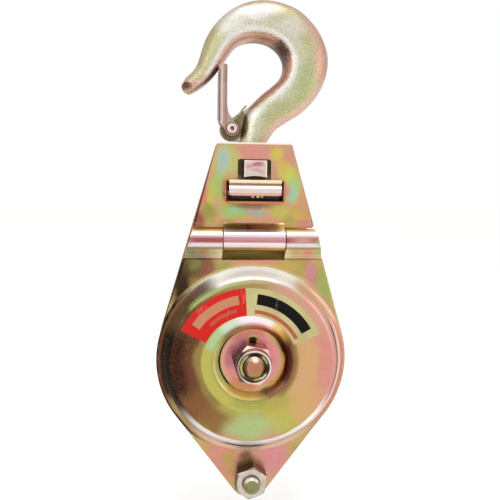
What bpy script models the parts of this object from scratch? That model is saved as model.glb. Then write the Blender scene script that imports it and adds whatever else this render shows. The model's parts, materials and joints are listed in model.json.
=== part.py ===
"""Snatch block for wire rope: one sheave between pressed cheeks, a swivel hook and a hinged gate.

Metres, +Z up. The block hangs in its working pose. The origin is the saddle of the hook, the
inner top of its bowl, where the load line meets whatever the hook hangs on. The gate, the
hinge and both nuts face -Y, and the mouth of the hook opens towards -X.
"""
import math

import bmesh
import bpy
from mathutils import Matrix, Vector

MM = 0.001

# Fits
SEAT_GAP = 0.3 * MM         # left between pieces that touch
RUN_GAP = 0.5 * MM          # between pieces that move past each other
BOLT_GAP = 0.3 * MM         # round a bolt, pin or shank in its hole

# Levels on the load line, below the saddle
PLATE_TOP_Z = -47.3 * MM    # top edge of the gate and of the rear cheek
HINGE_Z = -91.8 * MM
AXLE_Z = -149.0 * MM
TAIL_Z = -207.4 * MM

# Cheeks, both pressed from the same sheet
SHEET_T = 2.3 * MM
CHEEK_INNER_Y = 9.5 * MM    # inner face of the flat sheet, from the middle plane
CHEEK_R = 45.0 * MM
TAIL_R = 10.0 * MM
TOP_HALF_W = 17.2 * MM
EDGE_ROUND = 0.9 * MM
PRESSED_RISE = 5.5 * MM     # how far the pressed dome stands out
DISH_RISE = 1.8 * MM        # how far the middle of the dome still stands out
DISH_FLOOR_R = 15.0 * MM
DISH_LIP_R = 20.4 * MM
SHOULDER_R = 38.2 * MM
PRESSED_WALL = 6.4 * MM     # width of the sloping wall round the dome
FOOT_R = SHOULDER_R + PRESSED_WALL
CHEEK_ARC_STEPS = 10        # facets on each side arc of a cheek
TOP_EDGE_STEP = 12.5 * MM   # about how wide the facets along its top edge are

# Sheave and its axle
SHEAVE_R = 37.5 * MM
SHEAVE_RIM_HALF_W = 10.7 * MM
GROOVE_R = 5.5 * MM
GROOVE_DEPTH = 8.0 * MM
SHEAVE_HUB_R = 13.5 * MM
SHEAVE_WEB_HALF_W = 4.2 * MM
AXLE_R = 5.2 * MM
BUSH_WALL = 2.6 * MM
AXLE_FLATS = 17.0 * MM
AXLE_HEAD_H = 7.0 * MM
AXLE_NUT_H = 9.4 * MM
COLLAR_R = 8.0 * MM
COLLAR_H = 2.8 * MM
COLLAR_EDGE = 0.8 * MM
COLLAR_ROOT = 1.0 * MM      # how deep the collar's root lies in the nut
AXLE_END = 1.0 * MM         # how far the axle stands out of its nut
NUT_RING_R = 6.7 * MM
NUT_RING_T = 1.3 * MM       # thickness of the friction ring in the nut
NUT_RING_DEEP = 0.2 * MM    # how far the ring lies below the end of the collar
RING_NOTCH_HALF_W = 3.2 * MM
RING_NOTCH_DEEP = 0.8 * MM
AXLE_NUT_TURN = 19.0        # degrees that one corner of the nut is turned from the top
KEY_NOTCH_HALF_W = 2.4 * MM     # notch that keys the axle in the front cheek
KEY_NOTCH_TOP = 9.7 * MM    # top of the notch above the axle

# Tail bolt
TAIL_BOLT_R = 4.0 * MM
TAIL_FLATS = 14.0 * MM
TAIL_NUT_H = 6.5 * MM
TAIL_HEAD_H = 5.3 * MM
TAIL_END = 3.4 * MM
TAIL_NUT_TURN = -8.0
SPACER_WALL = 2.2 * MM

# Hinge of the gate
BARREL_R = 5.1 * MM
KNUCKLE_HALF_W = 14.1 * MM  # gate knuckle, half its width
KNUCKLE_SET_IN = 0.6 * MM   # cheek knuckles end this far inside the plates' sides
GATE_BEND_UP = 6.8 * MM     # bend line of the gate above the pin
CHEEK_BEND_DOWN = 9.3 * MM  # bend line of the cheek below the pin
BEND_R = 2.6 * MM
CURL_END = 45.0             # degrees below level where a curl stops, behind the pin

# Gate, its window and its latch
GATE_BOTTOM_UP = 5.4 * MM   # lower edge of the gate above the pin
WINDOW_HALF_W = 7.6 * MM
WINDOW_TOP_Z = -54.9 * MM
WINDOW_H = 14.2 * MM
TONGUE_HALF_W = 5.4 * MM
TONGUE_TOP_Z = -55.5 * MM
TONGUE_BOTTOM_Z = -63.6 * MM
TONGUE_OUT = 6.0 * MM       # how far the tongue stands out of the gate's face
LATCH_TOP_Z = -64.2 * MM
LATCH_PIN_Y = -15.3 * MM
LATCH_PIN_Z = -70.6 * MM
LATCH_PIN_R = 1.0 * MM
LATCH_HALF_W = 11.9 * MM
LATCH_SHEET = 1.2 * MM
LATCH_FRONT_Y = -19.2 * MM
LATCH_BAR_H = 8.6 * MM
LATCH_FLANGE_GAP = 1.6 * MM     # between the latch's upper flange and the gate
LATCH_SPRING_WIRE_R = 0.34 * MM
BRACKET_FRONT_Y = -17.6 * MM

# Head block and the swivel
BLOCK_HALF_W = 14.6 * MM
BLOCK_TOP_Z = -50.4 * MM
BLOCK_BOTTOM_Z = -66.8 * MM
SHANK_R = 6.5 * MM
THREAD_R = 5.0 * MM
SWIVEL_WASHER_R = 8.9 * MM
SWIVEL_WASHER_T = 1.6 * MM
SWIVEL_NUT_FLATS = 16.0 * MM
SWIVEL_NUT_H = 7.0 * MM
SWIVEL_END = 1.2 * MM
SWIVEL_PIN_R = 1.1 * MM
RIVET_R = 2.4 * MM
RIVET_HEAD_R = 4.4 * MM
RIVET_HEAD_H = 2.2 * MM
RIVET_X = 10.8 * MM
RIVET_DEEP = 6.0 * MM

# Safety latch of the hook
PIVOT_X = -10.3 * MM
PIVOT_Z = -40.6 * MM
LUG_R = 5.5 * MM
LUG_ROOT = [(-2.5, -46.1), (0.0, -36.0), (1.8, -27.6)]     # inside the neck, (x, z) in mm
LUG_HALF_T = 2.0 * MM
HOOK_LATCH_SHEET = 1.2 * MM
HOOK_LATCH_HALF_W = 6.2 * MM
HOOK_LATCH_BACK_X = -16.7 * MM  # outer face of the latch's web
HOOK_LATCH_RIM_X = -12.6 * MM   # edge of the latch's two flanges
HOOK_LATCH_TIP_Z = -11.2 * MM
HOOK_LATCH_SLANT_H = 3.3 * MM   # slanted end that lies under the point of the hook
HOOK_LATCH_SLANT_W = 2.3 * MM
HOOK_LATCH_END_R = 3.3 * MM     # rounded end of the flanges round the rivet
HOOK_RIVET_R = 1.3 * MM
HOOK_RIVET_HEAD_R = 2.8 * MM
HOOK_RIVET_RIM_H = 0.7 * MM
HOOK_RIVET_CROWN_R = 1.6 * MM
HOOK_RIVET_CROWN_H = 1.5 * MM
SPRING_WIRE_R = 0.4 * MM
SPRING_COIL_R = 2.3 * MM

# Hook: outer point, inner point, half thickness across, squareness and lean of each section.
# Points are (x, z) in mm from the saddle, from the nose round the bowl to the neck.
HOOK_STATIONS = [
    ((-33.1, -19.4), (-28.7, -24.3), 3.6, 2.1, 0.00),
    ((-31.9, -17.3), (-26.3, -23.0), 4.4, 2.1, 0.00),
    ((-29.1, -14.7), (-22.3, -20.0), 5.2, 2.2, 0.02),
    ((-26.8, -11.5), (-19.2, -16.7), 5.8, 2.2, 0.04),
    ((-25.4, -7.6), (-16.6, -13.3), 6.4, 2.3, 0.06),
    ((-24.2, -3.4), (-14.2, -10.0), 6.9, 2.3, 0.08),
    ((-22.0, 1.9), (-11.8, -6.4), 7.4, 2.4, 0.10),
    ((-17.7, 8.3), (-9.0, -3.0), 7.8, 2.4, 0.12),
    ((-10.1, 14.8), (-4.9, -0.7), 8.1, 2.5, 0.14),
    ((0.2, 18.7), (0.5, 0.0), 8.3, 2.5, 0.15),
    ((10.9, 18.5), (6.0, -1.0), 8.4, 2.5, 0.15),
    ((21.4, 14.6), (10.5, -3.9), 8.4, 2.5, 0.15),
    ((30.0, 6.3), (13.1, -7.7), 8.4, 2.5, 0.15),
    ((34.8, -4.3), (13.8, -12.1), 8.3, 2.5, 0.15),
    ((34.5, -14.8), (12.3, -16.5), 8.1, 2.5, 0.14),
    ((30.1, -24.5), (8.9, -20.1), 7.9, 2.5, 0.12),
    ((23.1, -32.1), (4.1, -24.0), 7.6, 2.4, 0.10),
    ((16.2, -36.6), (0.1, -27.9), 7.3, 2.3, 0.07),
    ((11.3, -40.0), (-3.3, -31.9), 7.0, 2.2, 0.04),
    ((9.0, -42.8), (-5.2, -37.3), 6.8, 2.1, 0.01),
]
HOOK_SECTION_POINTS = 16

# Section of the gate latch from the end of its upper flange, over the front and back inside.
# Points are (behind the front face, below the top) in mm; the bar is LATCH_BAR_H high.
GATE_LATCH_FRONT = [
    (1.2, 0.0), (0.5, 0.3), (0.2, 0.9), (0.5, 1.7), (1.0, 2.3), (1.0, 3.0), (0.4, 3.9),
    (0.0, 5.0), (0.0, 6.3), (0.5, 7.5), (1.3, 8.6),
]
GATE_LATCH_BACK = [
    (2.1, 8.0), (1.5, 6.7), (1.4, 5.2), (2.2, 3.6), (2.2, 2.5), (3.0, 1.6),
]
HOOK_NOSE = 2.6 * MM        # how far the rounded nose runs past the first station


def remove_everything():
    for obj in list(bpy.data.objects):
        bpy.data.objects.remove(obj, do_unlink=True)


def new_collection(name):
    made = bpy.data.collections.new(name)
    bpy.context.scene.collection.children.link(made)
    return made


remove_everything()
PARTS = new_collection("snatch_block")
CUTTERS = new_collection("cutters")


def make_material(name, colour, roughness, metallic=1.0):
    made = bpy.data.materials.new(name)
    made.use_nodes = True
    shader = made.node_tree.nodes["Principled BSDF"]
    shader.inputs["Base Color"].default_value = (*colour, 1.0)
    shader.inputs["Roughness"].default_value = roughness
    shader.inputs["Metallic"].default_value = metallic
    return made


FINISHES = {
    "forged_chromate": ((0.62, 0.58, 0.36), 0.42),
    "pressed_chromate": ((0.70, 0.62, 0.38), 0.28),
    "gate_chromate": ((0.78, 0.62, 0.45), 0.28),
    "latch_chromate": ((0.74, 0.60, 0.50), 0.30),
    "fastener_chromate": ((0.66, 0.55, 0.33), 0.30),
    "plain_zinc": ((0.70, 0.68, 0.62), 0.30),
    "spring_steel": ((0.55, 0.52, 0.45), 0.28),
    "sheave_steel": ((0.55, 0.50, 0.36), 0.38),
    "bush_bronze": ((0.62, 0.42, 0.20), 0.35),
}
MATERIALS = {name: make_material(name, *look) for name, look in FINISHES.items()}


def mesh_object(name, bm):
    """Turn a bmesh into an object of the scene, with its faces pointing out."""
    bmesh.ops.recalc_face_normals(bm, faces=bm.faces)
    mesh = bpy.data.meshes.new(name)
    bm.to_mesh(mesh)
    bm.free()
    obj = bpy.data.objects.new(name, mesh)
    PARTS.objects.link(obj)
    return obj


def set_finish(obj, finish, sharp_degrees=38.0):
    obj.data.materials.clear()
    obj.data.materials.append(MATERIALS[finish])
    obj.data.shade_smooth()
    obj.data.set_sharp_from_angle(angle=math.radians(sharp_degrees))


def move_origin(obj, place):
    """Move the object's origin to a place, such as a point of its joint's axis."""
    moved = Matrix.Translation(place)
    obj.data.transform(moved.inverted() @ obj.matrix_world)
    obj.matrix_world = moved


def boolean(obj, tool, operation):
    """Cut, join or trim obj with a tool object, which moves to the cutters."""
    for collection in list(tool.users_collection):
        collection.objects.unlink(tool)
    CUTTERS.objects.link(tool)
    tool.hide_render = True
    tool.display_type = "WIRE"
    modifier = obj.modifiers.new(tool.name, "BOOLEAN")
    modifier.operation = operation
    modifier.solver = "EXACT"
    modifier.object = tool


def curve_to_mesh(curve_obj, name, weld=1e-6):
    """Replace a curve object by the mesh that it draws, with its caps welded on."""
    bpy.context.view_layer.update()
    evaluated = curve_obj.evaluated_get(bpy.context.evaluated_depsgraph_get())
    mesh = bpy.data.meshes.new_from_object(evaluated)
    mesh.name = name
    bm = bmesh.new()
    bm.from_mesh(mesh)
    bmesh.ops.remove_doubles(bm, verts=bm.verts, dist=weld)
    bmesh.ops.recalc_face_normals(bm, faces=bm.faces)
    bm.to_mesh(mesh)
    bm.free()
    obj = bpy.data.objects.new(name, mesh)
    obj.matrix_world = curve_obj.matrix_world.copy()
    PARTS.objects.link(obj)
    bpy.data.objects.remove(curve_obj, do_unlink=True)
    return obj


# Frames for outlines and turned shapes: columns are the local x, y and z axes
FACING_FRONT = Matrix(((1, 0, 0, 0), (0, 0, -1, 0), (0, 1, 0, 0), (0, 0, 0, 1)))
FACING_RIGHT = Matrix(((0, 0, 1, 0), (1, 0, 0, 0), (0, 1, 0, 0), (0, 0, 0, 1)))


def slab(name, loops, frame, low, high):
    """Extrude flat loops, the first one outside and the rest holes, from low to high.

    FACING_FRONT takes (x, z) points and low and high in y; FACING_RIGHT takes (y, z) and x.
    """
    data = bpy.data.curves.new(name, "CURVE")
    data.dimensions = "2D"
    data.fill_mode = "BOTH"
    data.extrude = (high - low) / 2
    for loop in loops:
        spline = data.splines.new("POLY")
        spline.points.add(len(loop) - 1)
        for point, (u, v) in zip(spline.points, loop):
            point.co = (u, v, 0.0, 1.0)
        spline.use_cyclic_u = True
    obj = bpy.data.objects.new(name + "_outline", data)
    PARTS.objects.link(obj)
    middle = (low + high) / 2
    across = Vector((0, middle, 0)) if frame is FACING_FRONT else Vector((middle, 0, 0))
    obj.matrix_world = Matrix.Translation(across) @ frame
    return curve_to_mesh(obj, name)


def turned(name, profile, steps, origin, frame=FACING_FRONT, closed=True):
    """Spin (radius, height) points, listed down the outer side first, about the local z."""
    bm = bmesh.new()
    points = [bm.verts.new((r, 0.0, h)) for r, h in profile]
    for a, b in zip(points, points[1:]):
        bm.edges.new((a, b))
    if closed:
        bm.edges.new((points[-1], points[0]))
    mesh = bpy.data.meshes.new(name)
    bm.to_mesh(mesh)
    bm.free()
    obj = bpy.data.objects.new(name, mesh)
    PARTS.objects.link(obj)
    screw = obj.modifiers.new("turn", "SCREW")
    screw.axis = "Z"
    screw.steps = steps
    screw.render_steps = steps
    screw.use_merge_vertices = True
    screw.merge_threshold = 1e-5
    screw.use_normal_calculate = False
    obj.matrix_world = Matrix.Translation(origin) @ frame
    return obj


def bolt_profile(radius, top, bottom, chamfer):
    """A plain round bar from top to bottom with chamfered ends, down its outer side."""
    return [
        (0.0, top),
        (radius - chamfer, top),
        (radius, top - chamfer),
        (radius, bottom + chamfer),
        (radius - chamfer, bottom),
        (0.0, bottom),
    ]


def bore(obj, name, radius, origin, reach, frame=FACING_FRONT, steps=24):
    """Cut a round hole through obj about the frame's z axis, reach long each way."""
    profile = [(0.0, reach), (radius, reach), (radius, -reach), (0.0, -reach)]
    boolean(obj, turned(name, profile, steps, origin, frame, closed=False), "DIFFERENCE")


def hexagon(name, across_flats, origin, top, bottom, turn_degrees, chamfered_ends):
    """A hexagonal prism about the local z, with its corners chamfered by a cone at each end."""
    corner_r = across_flats / math.sqrt(3)
    bm = bmesh.new()
    turn = Matrix.Rotation(math.radians(turn_degrees), 4, "Z")
    shift = Matrix.Translation((0, 0, (top + bottom) / 2))
    bmesh.ops.create_cone(
        bm, cap_ends=True, segments=6, radius1=corner_r, radius2=corner_r,
        depth=top - bottom, matrix=shift @ turn,
    )
    obj = mesh_object(name, bm)
    obj.matrix_world = Matrix.Translation(origin) @ FACING_FRONT
    wide = corner_r * 1.02
    flat_r = across_flats / 2 * 0.97
    drop = (wide - flat_r) * math.tan(math.radians(30))
    past = 0.5 * MM
    upper = [(0.0, top), (flat_r, top), (wide, top - drop)]
    lower = [(wide, bottom + drop), (flat_r, bottom), (0.0, bottom)]
    if chamfered_ends == "top":
        lower = [(wide, bottom - past), (0.0, bottom - past)]
    if chamfered_ends == "bottom":
        upper = [(0.0, top + past), (wide, top + past)]
    boolean(obj, turned(name + "_chamfer", upper + lower, 30, origin, closed=False), "INTERSECT")
    return obj


def arc(centre, radius, start, end, steps):
    """Points on a circle from start to end in degrees, both included."""
    angles = [math.radians(start + (end - start) * i / steps) for i in range(steps + 1)]
    return [(centre[0] + radius * math.cos(a), centre[1] + radius * math.sin(a)) for a in angles]


def rounded(corners, radius, steps=3):
    """Round each corner of a polygon with an arc that is tangent to both its sides."""
    out = []
    count = len(corners)
    for i in range(count):
        here = Vector(corners[i])
        back = (Vector(corners[i - 1]) - here).normalized()
        on = (Vector(corners[(i + 1) % count]) - here).normalized()
        half = back.angle(on) / 2
        reach = radius / math.tan(half)
        centre = here + (back + on).normalized() * (radius / math.sin(half))
        first = here + back * reach - centre
        last = here + on * reach - centre
        for k in range(steps + 1):
            swing = first.lerp(last, k / steps).normalized() * radius
            out.append(tuple(centre + swing))
    return out


def round_front_edges(obj, front_y, width):
    """Round the edges between the front face of a sheet part and its sides."""
    bm = bmesh.new()
    bm.from_mesh(obj.data)
    world = obj.matrix_world
    near = 1e-5
    edges = []
    for edge in bm.edges:
        on_front = all(abs((world @ v.co).y - front_y) < near for v in edge.verts)
        if on_front and edge.calc_face_angle(0.0) > math.radians(60):
            edges.append(edge)
    bmesh.ops.bevel(
        bm, geom=edges, offset=width, segments=2, profile=0.5, affect="EDGES",
        clamp_overlap=True,
    )
    bm.to_mesh(obj.data)
    bm.free()


CHEEK_OUTER_Y = CHEEK_INNER_Y + SHEET_T
DISH_OUTER_Y = CHEEK_OUTER_Y + DISH_RISE
DISH_INNER_Y = DISH_OUTER_Y - SHEET_T
GATE_FACE_Y = -CHEEK_OUTER_Y
PIN_CENTRE = (-(CHEEK_INNER_Y + BARREL_R), HINGE_Z)


def side_normal():
    """Angle above level of the outward normal of the cheek's straight upper side."""
    corner = Vector((TOP_HALF_W, PLATE_TOP_Z - AXLE_Z))
    return math.degrees(math.atan2(corner.y, corner.x) - math.acos(CHEEK_R / corner.length))


def half_width_at(z):
    """Half width of the plates' straight upper sides at a level."""
    tilt = math.radians(side_normal())
    return (CHEEK_R - (z - AXLE_Z) * math.sin(tilt)) / math.cos(tilt)


def cheek_outline(top_z):
    """Right side, tail and left side of a cheek, clockwise from the top right corner."""
    upper = side_normal()
    lower = -math.degrees(math.asin((CHEEK_R - TAIL_R) / (AXLE_Z - TAIL_Z)))
    top = (half_width_at(top_z), top_z)
    side = arc((0.0, AXLE_Z), CHEEK_R, upper, lower, CHEEK_ARC_STEPS)
    tail = arc((0.0, TAIL_Z), TAIL_R, lower, -90.0, 5)
    flare_steps = max(2, round((top_z - side[0][1]) / (17 * MM)))
    right = [top]
    for k in range(1, flare_steps):
        t = k / flare_steps
        right.append((top[0] + (side[0][0] - top[0]) * t, top[1] + (side[0][1] - top[1]) * t))
    right += side
    for k in range(1, 3):
        t = k / 3
        a, b = side[-1], tail[0]
        right.append((a[0] + (b[0] - a[0]) * t, a[1] + (b[1] - a[1]) * t))
    right += tail
    left = [(-x, z) for x, z in reversed(right[:-1])]
    top_steps = round(2 * top[0] / TOP_EDGE_STEP)
    across = [
        (-top[0] + 2 * top[0] * k / top_steps, top_z) for k in range(1, top_steps)
    ]
    return right + left + across


PRESSED_PROFILE = [
    (DISH_FLOOR_R, DISH_RISE),
    (DISH_FLOOR_R + 0.7 * MM, DISH_RISE + 0.7 * MM),
    (DISH_FLOOR_R + 1.7 * MM, DISH_RISE + 2.0 * MM),
    (DISH_LIP_R - 2.4 * MM, PRESSED_RISE - 0.7 * MM),
    (DISH_LIP_R - 0.9 * MM, PRESSED_RISE - 0.2 * MM),
    (DISH_LIP_R + 0.8 * MM, PRESSED_RISE),
    ((DISH_LIP_R + SHOULDER_R) / 2, PRESSED_RISE + 0.3 * MM),
    (SHOULDER_R - 2.4 * MM, PRESSED_RISE),
    (SHOULDER_R, PRESSED_RISE - 0.5 * MM),
    (SHOULDER_R + 1.7 * MM, PRESSED_RISE - 1.7 * MM),
    (FOOT_R - 2.0 * MM, 1.1 * MM),
    (FOOT_R - 0.6 * MM, 0.35 * MM),
    (FOOT_R + 1.0 * MM, 0.0),
]
INNER_RINGS = (0, 3, 6, 9, 11, 13)  # rings that the plainer inner face keeps
EDGE_TURN = 0.3     # share of the edge's rounding at its middle row


def pressed_height(r):
    """How far the outer face stands out of the flat sheet at a distance from the axle."""
    before = PRESSED_PROFILE[0]
    if r <= before[0]:
        return before[1]
    for here in PRESSED_PROFILE[1:]:
        if r <= here[0]:
            t = (r - before[0]) / (here[0] - before[0])
            return before[1] + (here[1] - before[1]) * t
        before = here
    return 0.0


def pressed_thickness(r):
    """Sheet thickness measured along y, which grows where the pressing slopes."""
    step = 0.8 * MM
    slope = (pressed_height(r + step) - pressed_height(r - step)) / (2 * step)
    return SHEET_T * math.sqrt(1 + slope * slope)


def inset(outline, width):
    """The outline moved in by an even width, with mitred corners."""
    moved = []
    for i, here in enumerate(outline):
        back = (Vector(here) - Vector(outline[i - 1])).normalized()
        on = (Vector(outline[(i + 1) % len(outline)]) - Vector(here)).normalized()
        from_back = Vector((back.y, -back.x))
        both = (from_back + Vector((on.y, -on.x))).normalized()
        moved.append(Vector(here) + both * width / both.dot(from_back))
    return moved


def cheek_section(rim, edge, turn):
    """Closed section of a cheek from the axle hole to its rim: (place, height) points.

    The rim, the edge of the flat face and the middle of its rounding are places from the axle.
    """
    hole_r = AXLE_R + BOLT_GAP
    radii = [hole_r] + [r for r, _ in PRESSED_PROFILE]
    spacing = 0.3 * MM
    count = len(radii)
    last = rim.length - EDGE_ROUND
    outer = [min(r, last - (count - k) * spacing) for k, r in enumerate(radii)]
    way = rim.normalized()
    section = [(way * r, pressed_height(r)) for r in outer]
    rim_h = pressed_height(edge.length)
    section.append((edge, rim_h))
    section.append((turn, rim_h - EDGE_TURN * EDGE_ROUND))
    section.append((rim, rim_h - EDGE_ROUND))
    section.append((rim, rim_h - pressed_thickness(rim.length)))
    for r in [outer[k] for k in reversed(INNER_RINGS)]:
        section.append((way * r, pressed_height(r) - pressed_thickness(r)))
    return section


def pressed_cheek(name, top_z, facing):
    """Loft the pressed sheet from its round axle hole to its outline; facing is -1 or 1 in y."""
    outline = [Vector((x, z - AXLE_Z)) for x, z in cheek_outline(top_z)]
    edges = inset(outline, EDGE_ROUND)
    turns = inset(outline, EDGE_TURN * EDGE_ROUND)
    bm = bmesh.new()
    rings = []
    for rim, edge, turn in zip(outline, edges, turns):
        ring = []
        for place, h in cheek_section(rim, edge, turn):
            ring.append(bm.verts.new((place.x, facing * (CHEEK_OUTER_Y + h), AXLE_Z + place.y)))
        rings.append(ring)
    count = len(rings[0])
    for i in range(len(rings)):
        here, on = rings[i], rings[(i + 1) % len(rings)]
        for k in range(count):
            m = (k + 1) % count
            bm.faces.new((here[k], here[m], on[m], on[k]))
    return mesh_object(name, bm)


def curl_outline(bend_z, start_z):
    """Section of a sheet that leaves the plate, passes in front of the pin and curls round it."""
    up = 1.0 if bend_z < HINGE_Z else -1.0
    centre = Vector(PIN_CENTRE)
    middle_r = BARREL_R - SHEET_T / 2
    plate_y = -(CHEEK_INNER_Y + SHEET_T / 2)
    corner = Vector((plate_y, bend_z))
    to_pin = centre - corner
    turn = math.asin(middle_r / to_pin.length)
    heading = math.atan2(to_pin.y, to_pin.x) + up * turn
    way = Vector((math.cos(heading), math.sin(heading)))
    tangent = corner + way * math.sqrt(to_pin.length ** 2 - middle_r ** 2)
    bend_angle = abs(Vector((0.0, up)).angle(way))
    reach = BEND_R * math.tan(bend_angle / 2)
    bend_centre = Vector((plate_y - BEND_R, bend_z - up * reach))
    path = [Vector((plate_y, start_z))]
    bend_steps = 4
    for k in range(bend_steps + 1):
        a = bend_angle * k / bend_steps
        swing = Vector((math.cos(a), up * math.sin(a))) * BEND_R
        path.append(bend_centre + swing)
    first = math.degrees(math.atan2((tangent - centre).y, (tangent - centre).x)) % 360
    last = 360 + CURL_END if up < 0 else -CURL_END
    curl_steps = 20
    for k in range(curl_steps + 1):
        a = math.radians(first + (last - first) * k / curl_steps)
        path.append(centre + Vector((math.cos(a), math.sin(a))) * middle_r)
    return thick_path(path, SHEET_T)


def thick_path(path, thickness):
    """Outline of a strip of even thickness along a path."""
    left, right = [], []
    for i, here in enumerate(path):
        before = path[max(i - 1, 0)]
        after = path[min(i + 1, len(path) - 1)]
        along = (after - before).normalized()
        side = Vector((-along.y, along.x))
        stretch = 1.0
        if 0 < i < len(path) - 1:
            leg = (here - before).normalized()
            stretch = 1.0 / max(0.5, leg.dot(along))
        left.append(tuple(here + side * thickness / 2 * stretch))
        right.append(tuple(here - side * thickness / 2 * stretch))
    return left + right[::-1]


def knuckle_taper(z):
    """Half width of the hinge at a level, a little inside the sides of the plates."""
    return half_width_at(z) - KNUCKLE_SET_IN


def build_front_cheek():
    top_z = HINGE_Z - CHEEK_BEND_DOWN
    cheek = pressed_cheek("front_cheek", top_z, -1)
    overlap_z = top_z - SHEET_T
    inner_x = KNUCKLE_HALF_W + RUN_GAP
    outer_x = half_width_at(overlap_z)
    high_z = HINGE_Z + BARREL_R + MM
    low_z = overlap_z - MM
    taper = [
        (-knuckle_taper(low_z), low_z),
        (knuckle_taper(low_z), low_z),
        (knuckle_taper(high_z), high_z),
        (-knuckle_taper(high_z), high_z),
    ]
    front_y = -CHEEK_INNER_Y - 2 * BARREL_R - MM
    for name, low, high in (
        ("left_knuckle", -outer_x, -inner_x),
        ("right_knuckle", inner_x, outer_x),
    ):
        curl = slab(name, [curl_outline(top_z, overlap_z)], FACING_RIGHT, low, high)
        trim = slab(name + "_taper", [taper], FACING_FRONT, front_y, -CHEEK_INNER_Y + MM)
        boolean(curl, trim, "INTERSECT")
        boolean(cheek, curl, "UNION")
    notch_z = AXLE_Z + KEY_NOTCH_TOP - KEY_NOTCH_HALF_W
    notch = arc((0.0, notch_z), KEY_NOTCH_HALF_W, 0, 180, 10)
    notch += [(-KEY_NOTCH_HALF_W, AXLE_Z), (KEY_NOTCH_HALF_W, AXLE_Z)]
    key = slab("key_notch", [notch], FACING_FRONT, -DISH_OUTER_Y - MM, -DISH_INNER_Y + MM)
    boolean(cheek, key, "DIFFERENCE")
    bore(cheek, "front_tail_hole", TAIL_BOLT_R + BOLT_GAP, (0, -CHEEK_OUTER_Y, TAIL_Z), 6 * MM)
    set_finish(cheek, "pressed_chromate")


def rivet_places():
    level = (BLOCK_TOP_Z + BLOCK_BOTTOM_Z) / 2
    return [("left", -RIVET_X, level), ("right", RIVET_X, level)]


def build_rear_cheek():
    cheek = pressed_cheek("rear_cheek", PLATE_TOP_Z, 1)
    bore(cheek, "rear_tail_hole", TAIL_BOLT_R + BOLT_GAP, (0, CHEEK_OUTER_Y, TAIL_Z), 6 * MM)
    for side, x, z in rivet_places():
        place = (x, CHEEK_OUTER_Y, z)
        bore(cheek, "rear_rivet_hole_" + side, RIVET_R + BOLT_GAP, place, 6 * MM, steps=16)
    set_finish(cheek, "pressed_chromate")


def build_gate():
    bottom_z = HINGE_Z + GATE_BOTTOM_UP
    side = half_width_at(PLATE_TOP_Z)
    foot = half_width_at(bottom_z)
    plate = rounded(
        [(-side, PLATE_TOP_Z), (-foot, bottom_z), (foot, bottom_z), (side, PLATE_TOP_Z)],
        1.2 * MM,
    )
    low = WINDOW_TOP_Z - WINDOW_H
    window = rounded(
        [
            (-WINDOW_HALF_W, WINDOW_TOP_Z),
            (WINDOW_HALF_W, WINDOW_TOP_Z),
            (WINDOW_HALF_W, low),
            (-WINDOW_HALF_W, low),
        ],
        1.0 * MM,
    )
    gate = slab("gate", [plate, window], FACING_FRONT, -CHEEK_OUTER_Y, -CHEEK_INNER_Y)
    round_front_edges(gate, GATE_FACE_Y, EDGE_ROUND)
    move_origin(gate, (0, PIN_CENTRE[0], PIN_CENTRE[1]))
    bend_z = HINGE_Z + GATE_BEND_UP
    curl = slab(
        "gate_knuckle", [curl_outline(bend_z, bend_z + 2.6 * MM)], FACING_RIGHT,
        -KNUCKLE_HALF_W, KNUCKLE_HALF_W,
    )
    boolean(gate, curl, "UNION")
    set_finish(gate, "gate_chromate")


def build_hinge_pin():
    radius = BARREL_R - SHEET_T - BOLT_GAP
    reach = knuckle_taper(HINGE_Z) + 0.4 * MM
    profile = bolt_profile(radius, reach, -reach, 0.5 * MM)
    pin = turned(
        "hinge_pin", profile, 24, (0, PIN_CENTRE[0], PIN_CENTRE[1]), FACING_RIGHT, closed=False
    )
    set_finish(pin, "fastener_chromate")


def build_head_block():
    back_y = CHEEK_INNER_Y - SEAT_GAP
    outline = rounded(
        [
            (-BLOCK_HALF_W, BLOCK_TOP_Z),
            (BLOCK_HALF_W, BLOCK_TOP_Z),
            (BLOCK_HALF_W, BLOCK_BOTTOM_Z),
            (-BLOCK_HALF_W, BLOCK_BOTTOM_Z),
        ],
        1.5 * MM,
    )
    block = slab("head_block", [outline], FACING_FRONT, -back_y, back_y)
    tongue_end_y = GATE_FACE_Y - TONGUE_OUT
    sag = 0.7 * MM
    lower = []
    steps = 8
    for k in range(steps + 1):
        t = 2 * k / steps - 1
        lower.append((t * TONGUE_HALF_W, TONGUE_BOTTOM_Z + sag * (1 - t * t)))
    tongue_outline = lower + [(TONGUE_HALF_W, TONGUE_TOP_Z), (-TONGUE_HALF_W, TONGUE_TOP_Z)]
    tongue = slab("tongue", [tongue_outline], FACING_FRONT, tongue_end_y, 0.0)
    round_front_edges(tongue, tongue_end_y, 0.8 * MM)
    boolean(block, tongue, "UNION")
    middle = (0, 0, (BLOCK_TOP_Z + BLOCK_BOTTOM_Z) / 2)
    bore(block, "shank_bore", SHANK_R + BOLT_GAP, middle, 12 * MM, Matrix.Identity(4), 32)
    for side, x, z in rivet_places():
        bottom_y = back_y - RIVET_DEEP
        profile = [
            (0.0, 0.0),
            (RIVET_R + BOLT_GAP, 0.0),
            (RIVET_R + BOLT_GAP, -RIVET_DEEP - 2 * MM),
            (0.0, -RIVET_DEEP - 2 * MM),
        ]
        hole = turned("block_rivet_hole_" + side, profile, 16, (x, bottom_y, z), closed=False)
        boolean(block, hole, "DIFFERENCE")
    set_finish(block, "forged_chromate")


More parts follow.
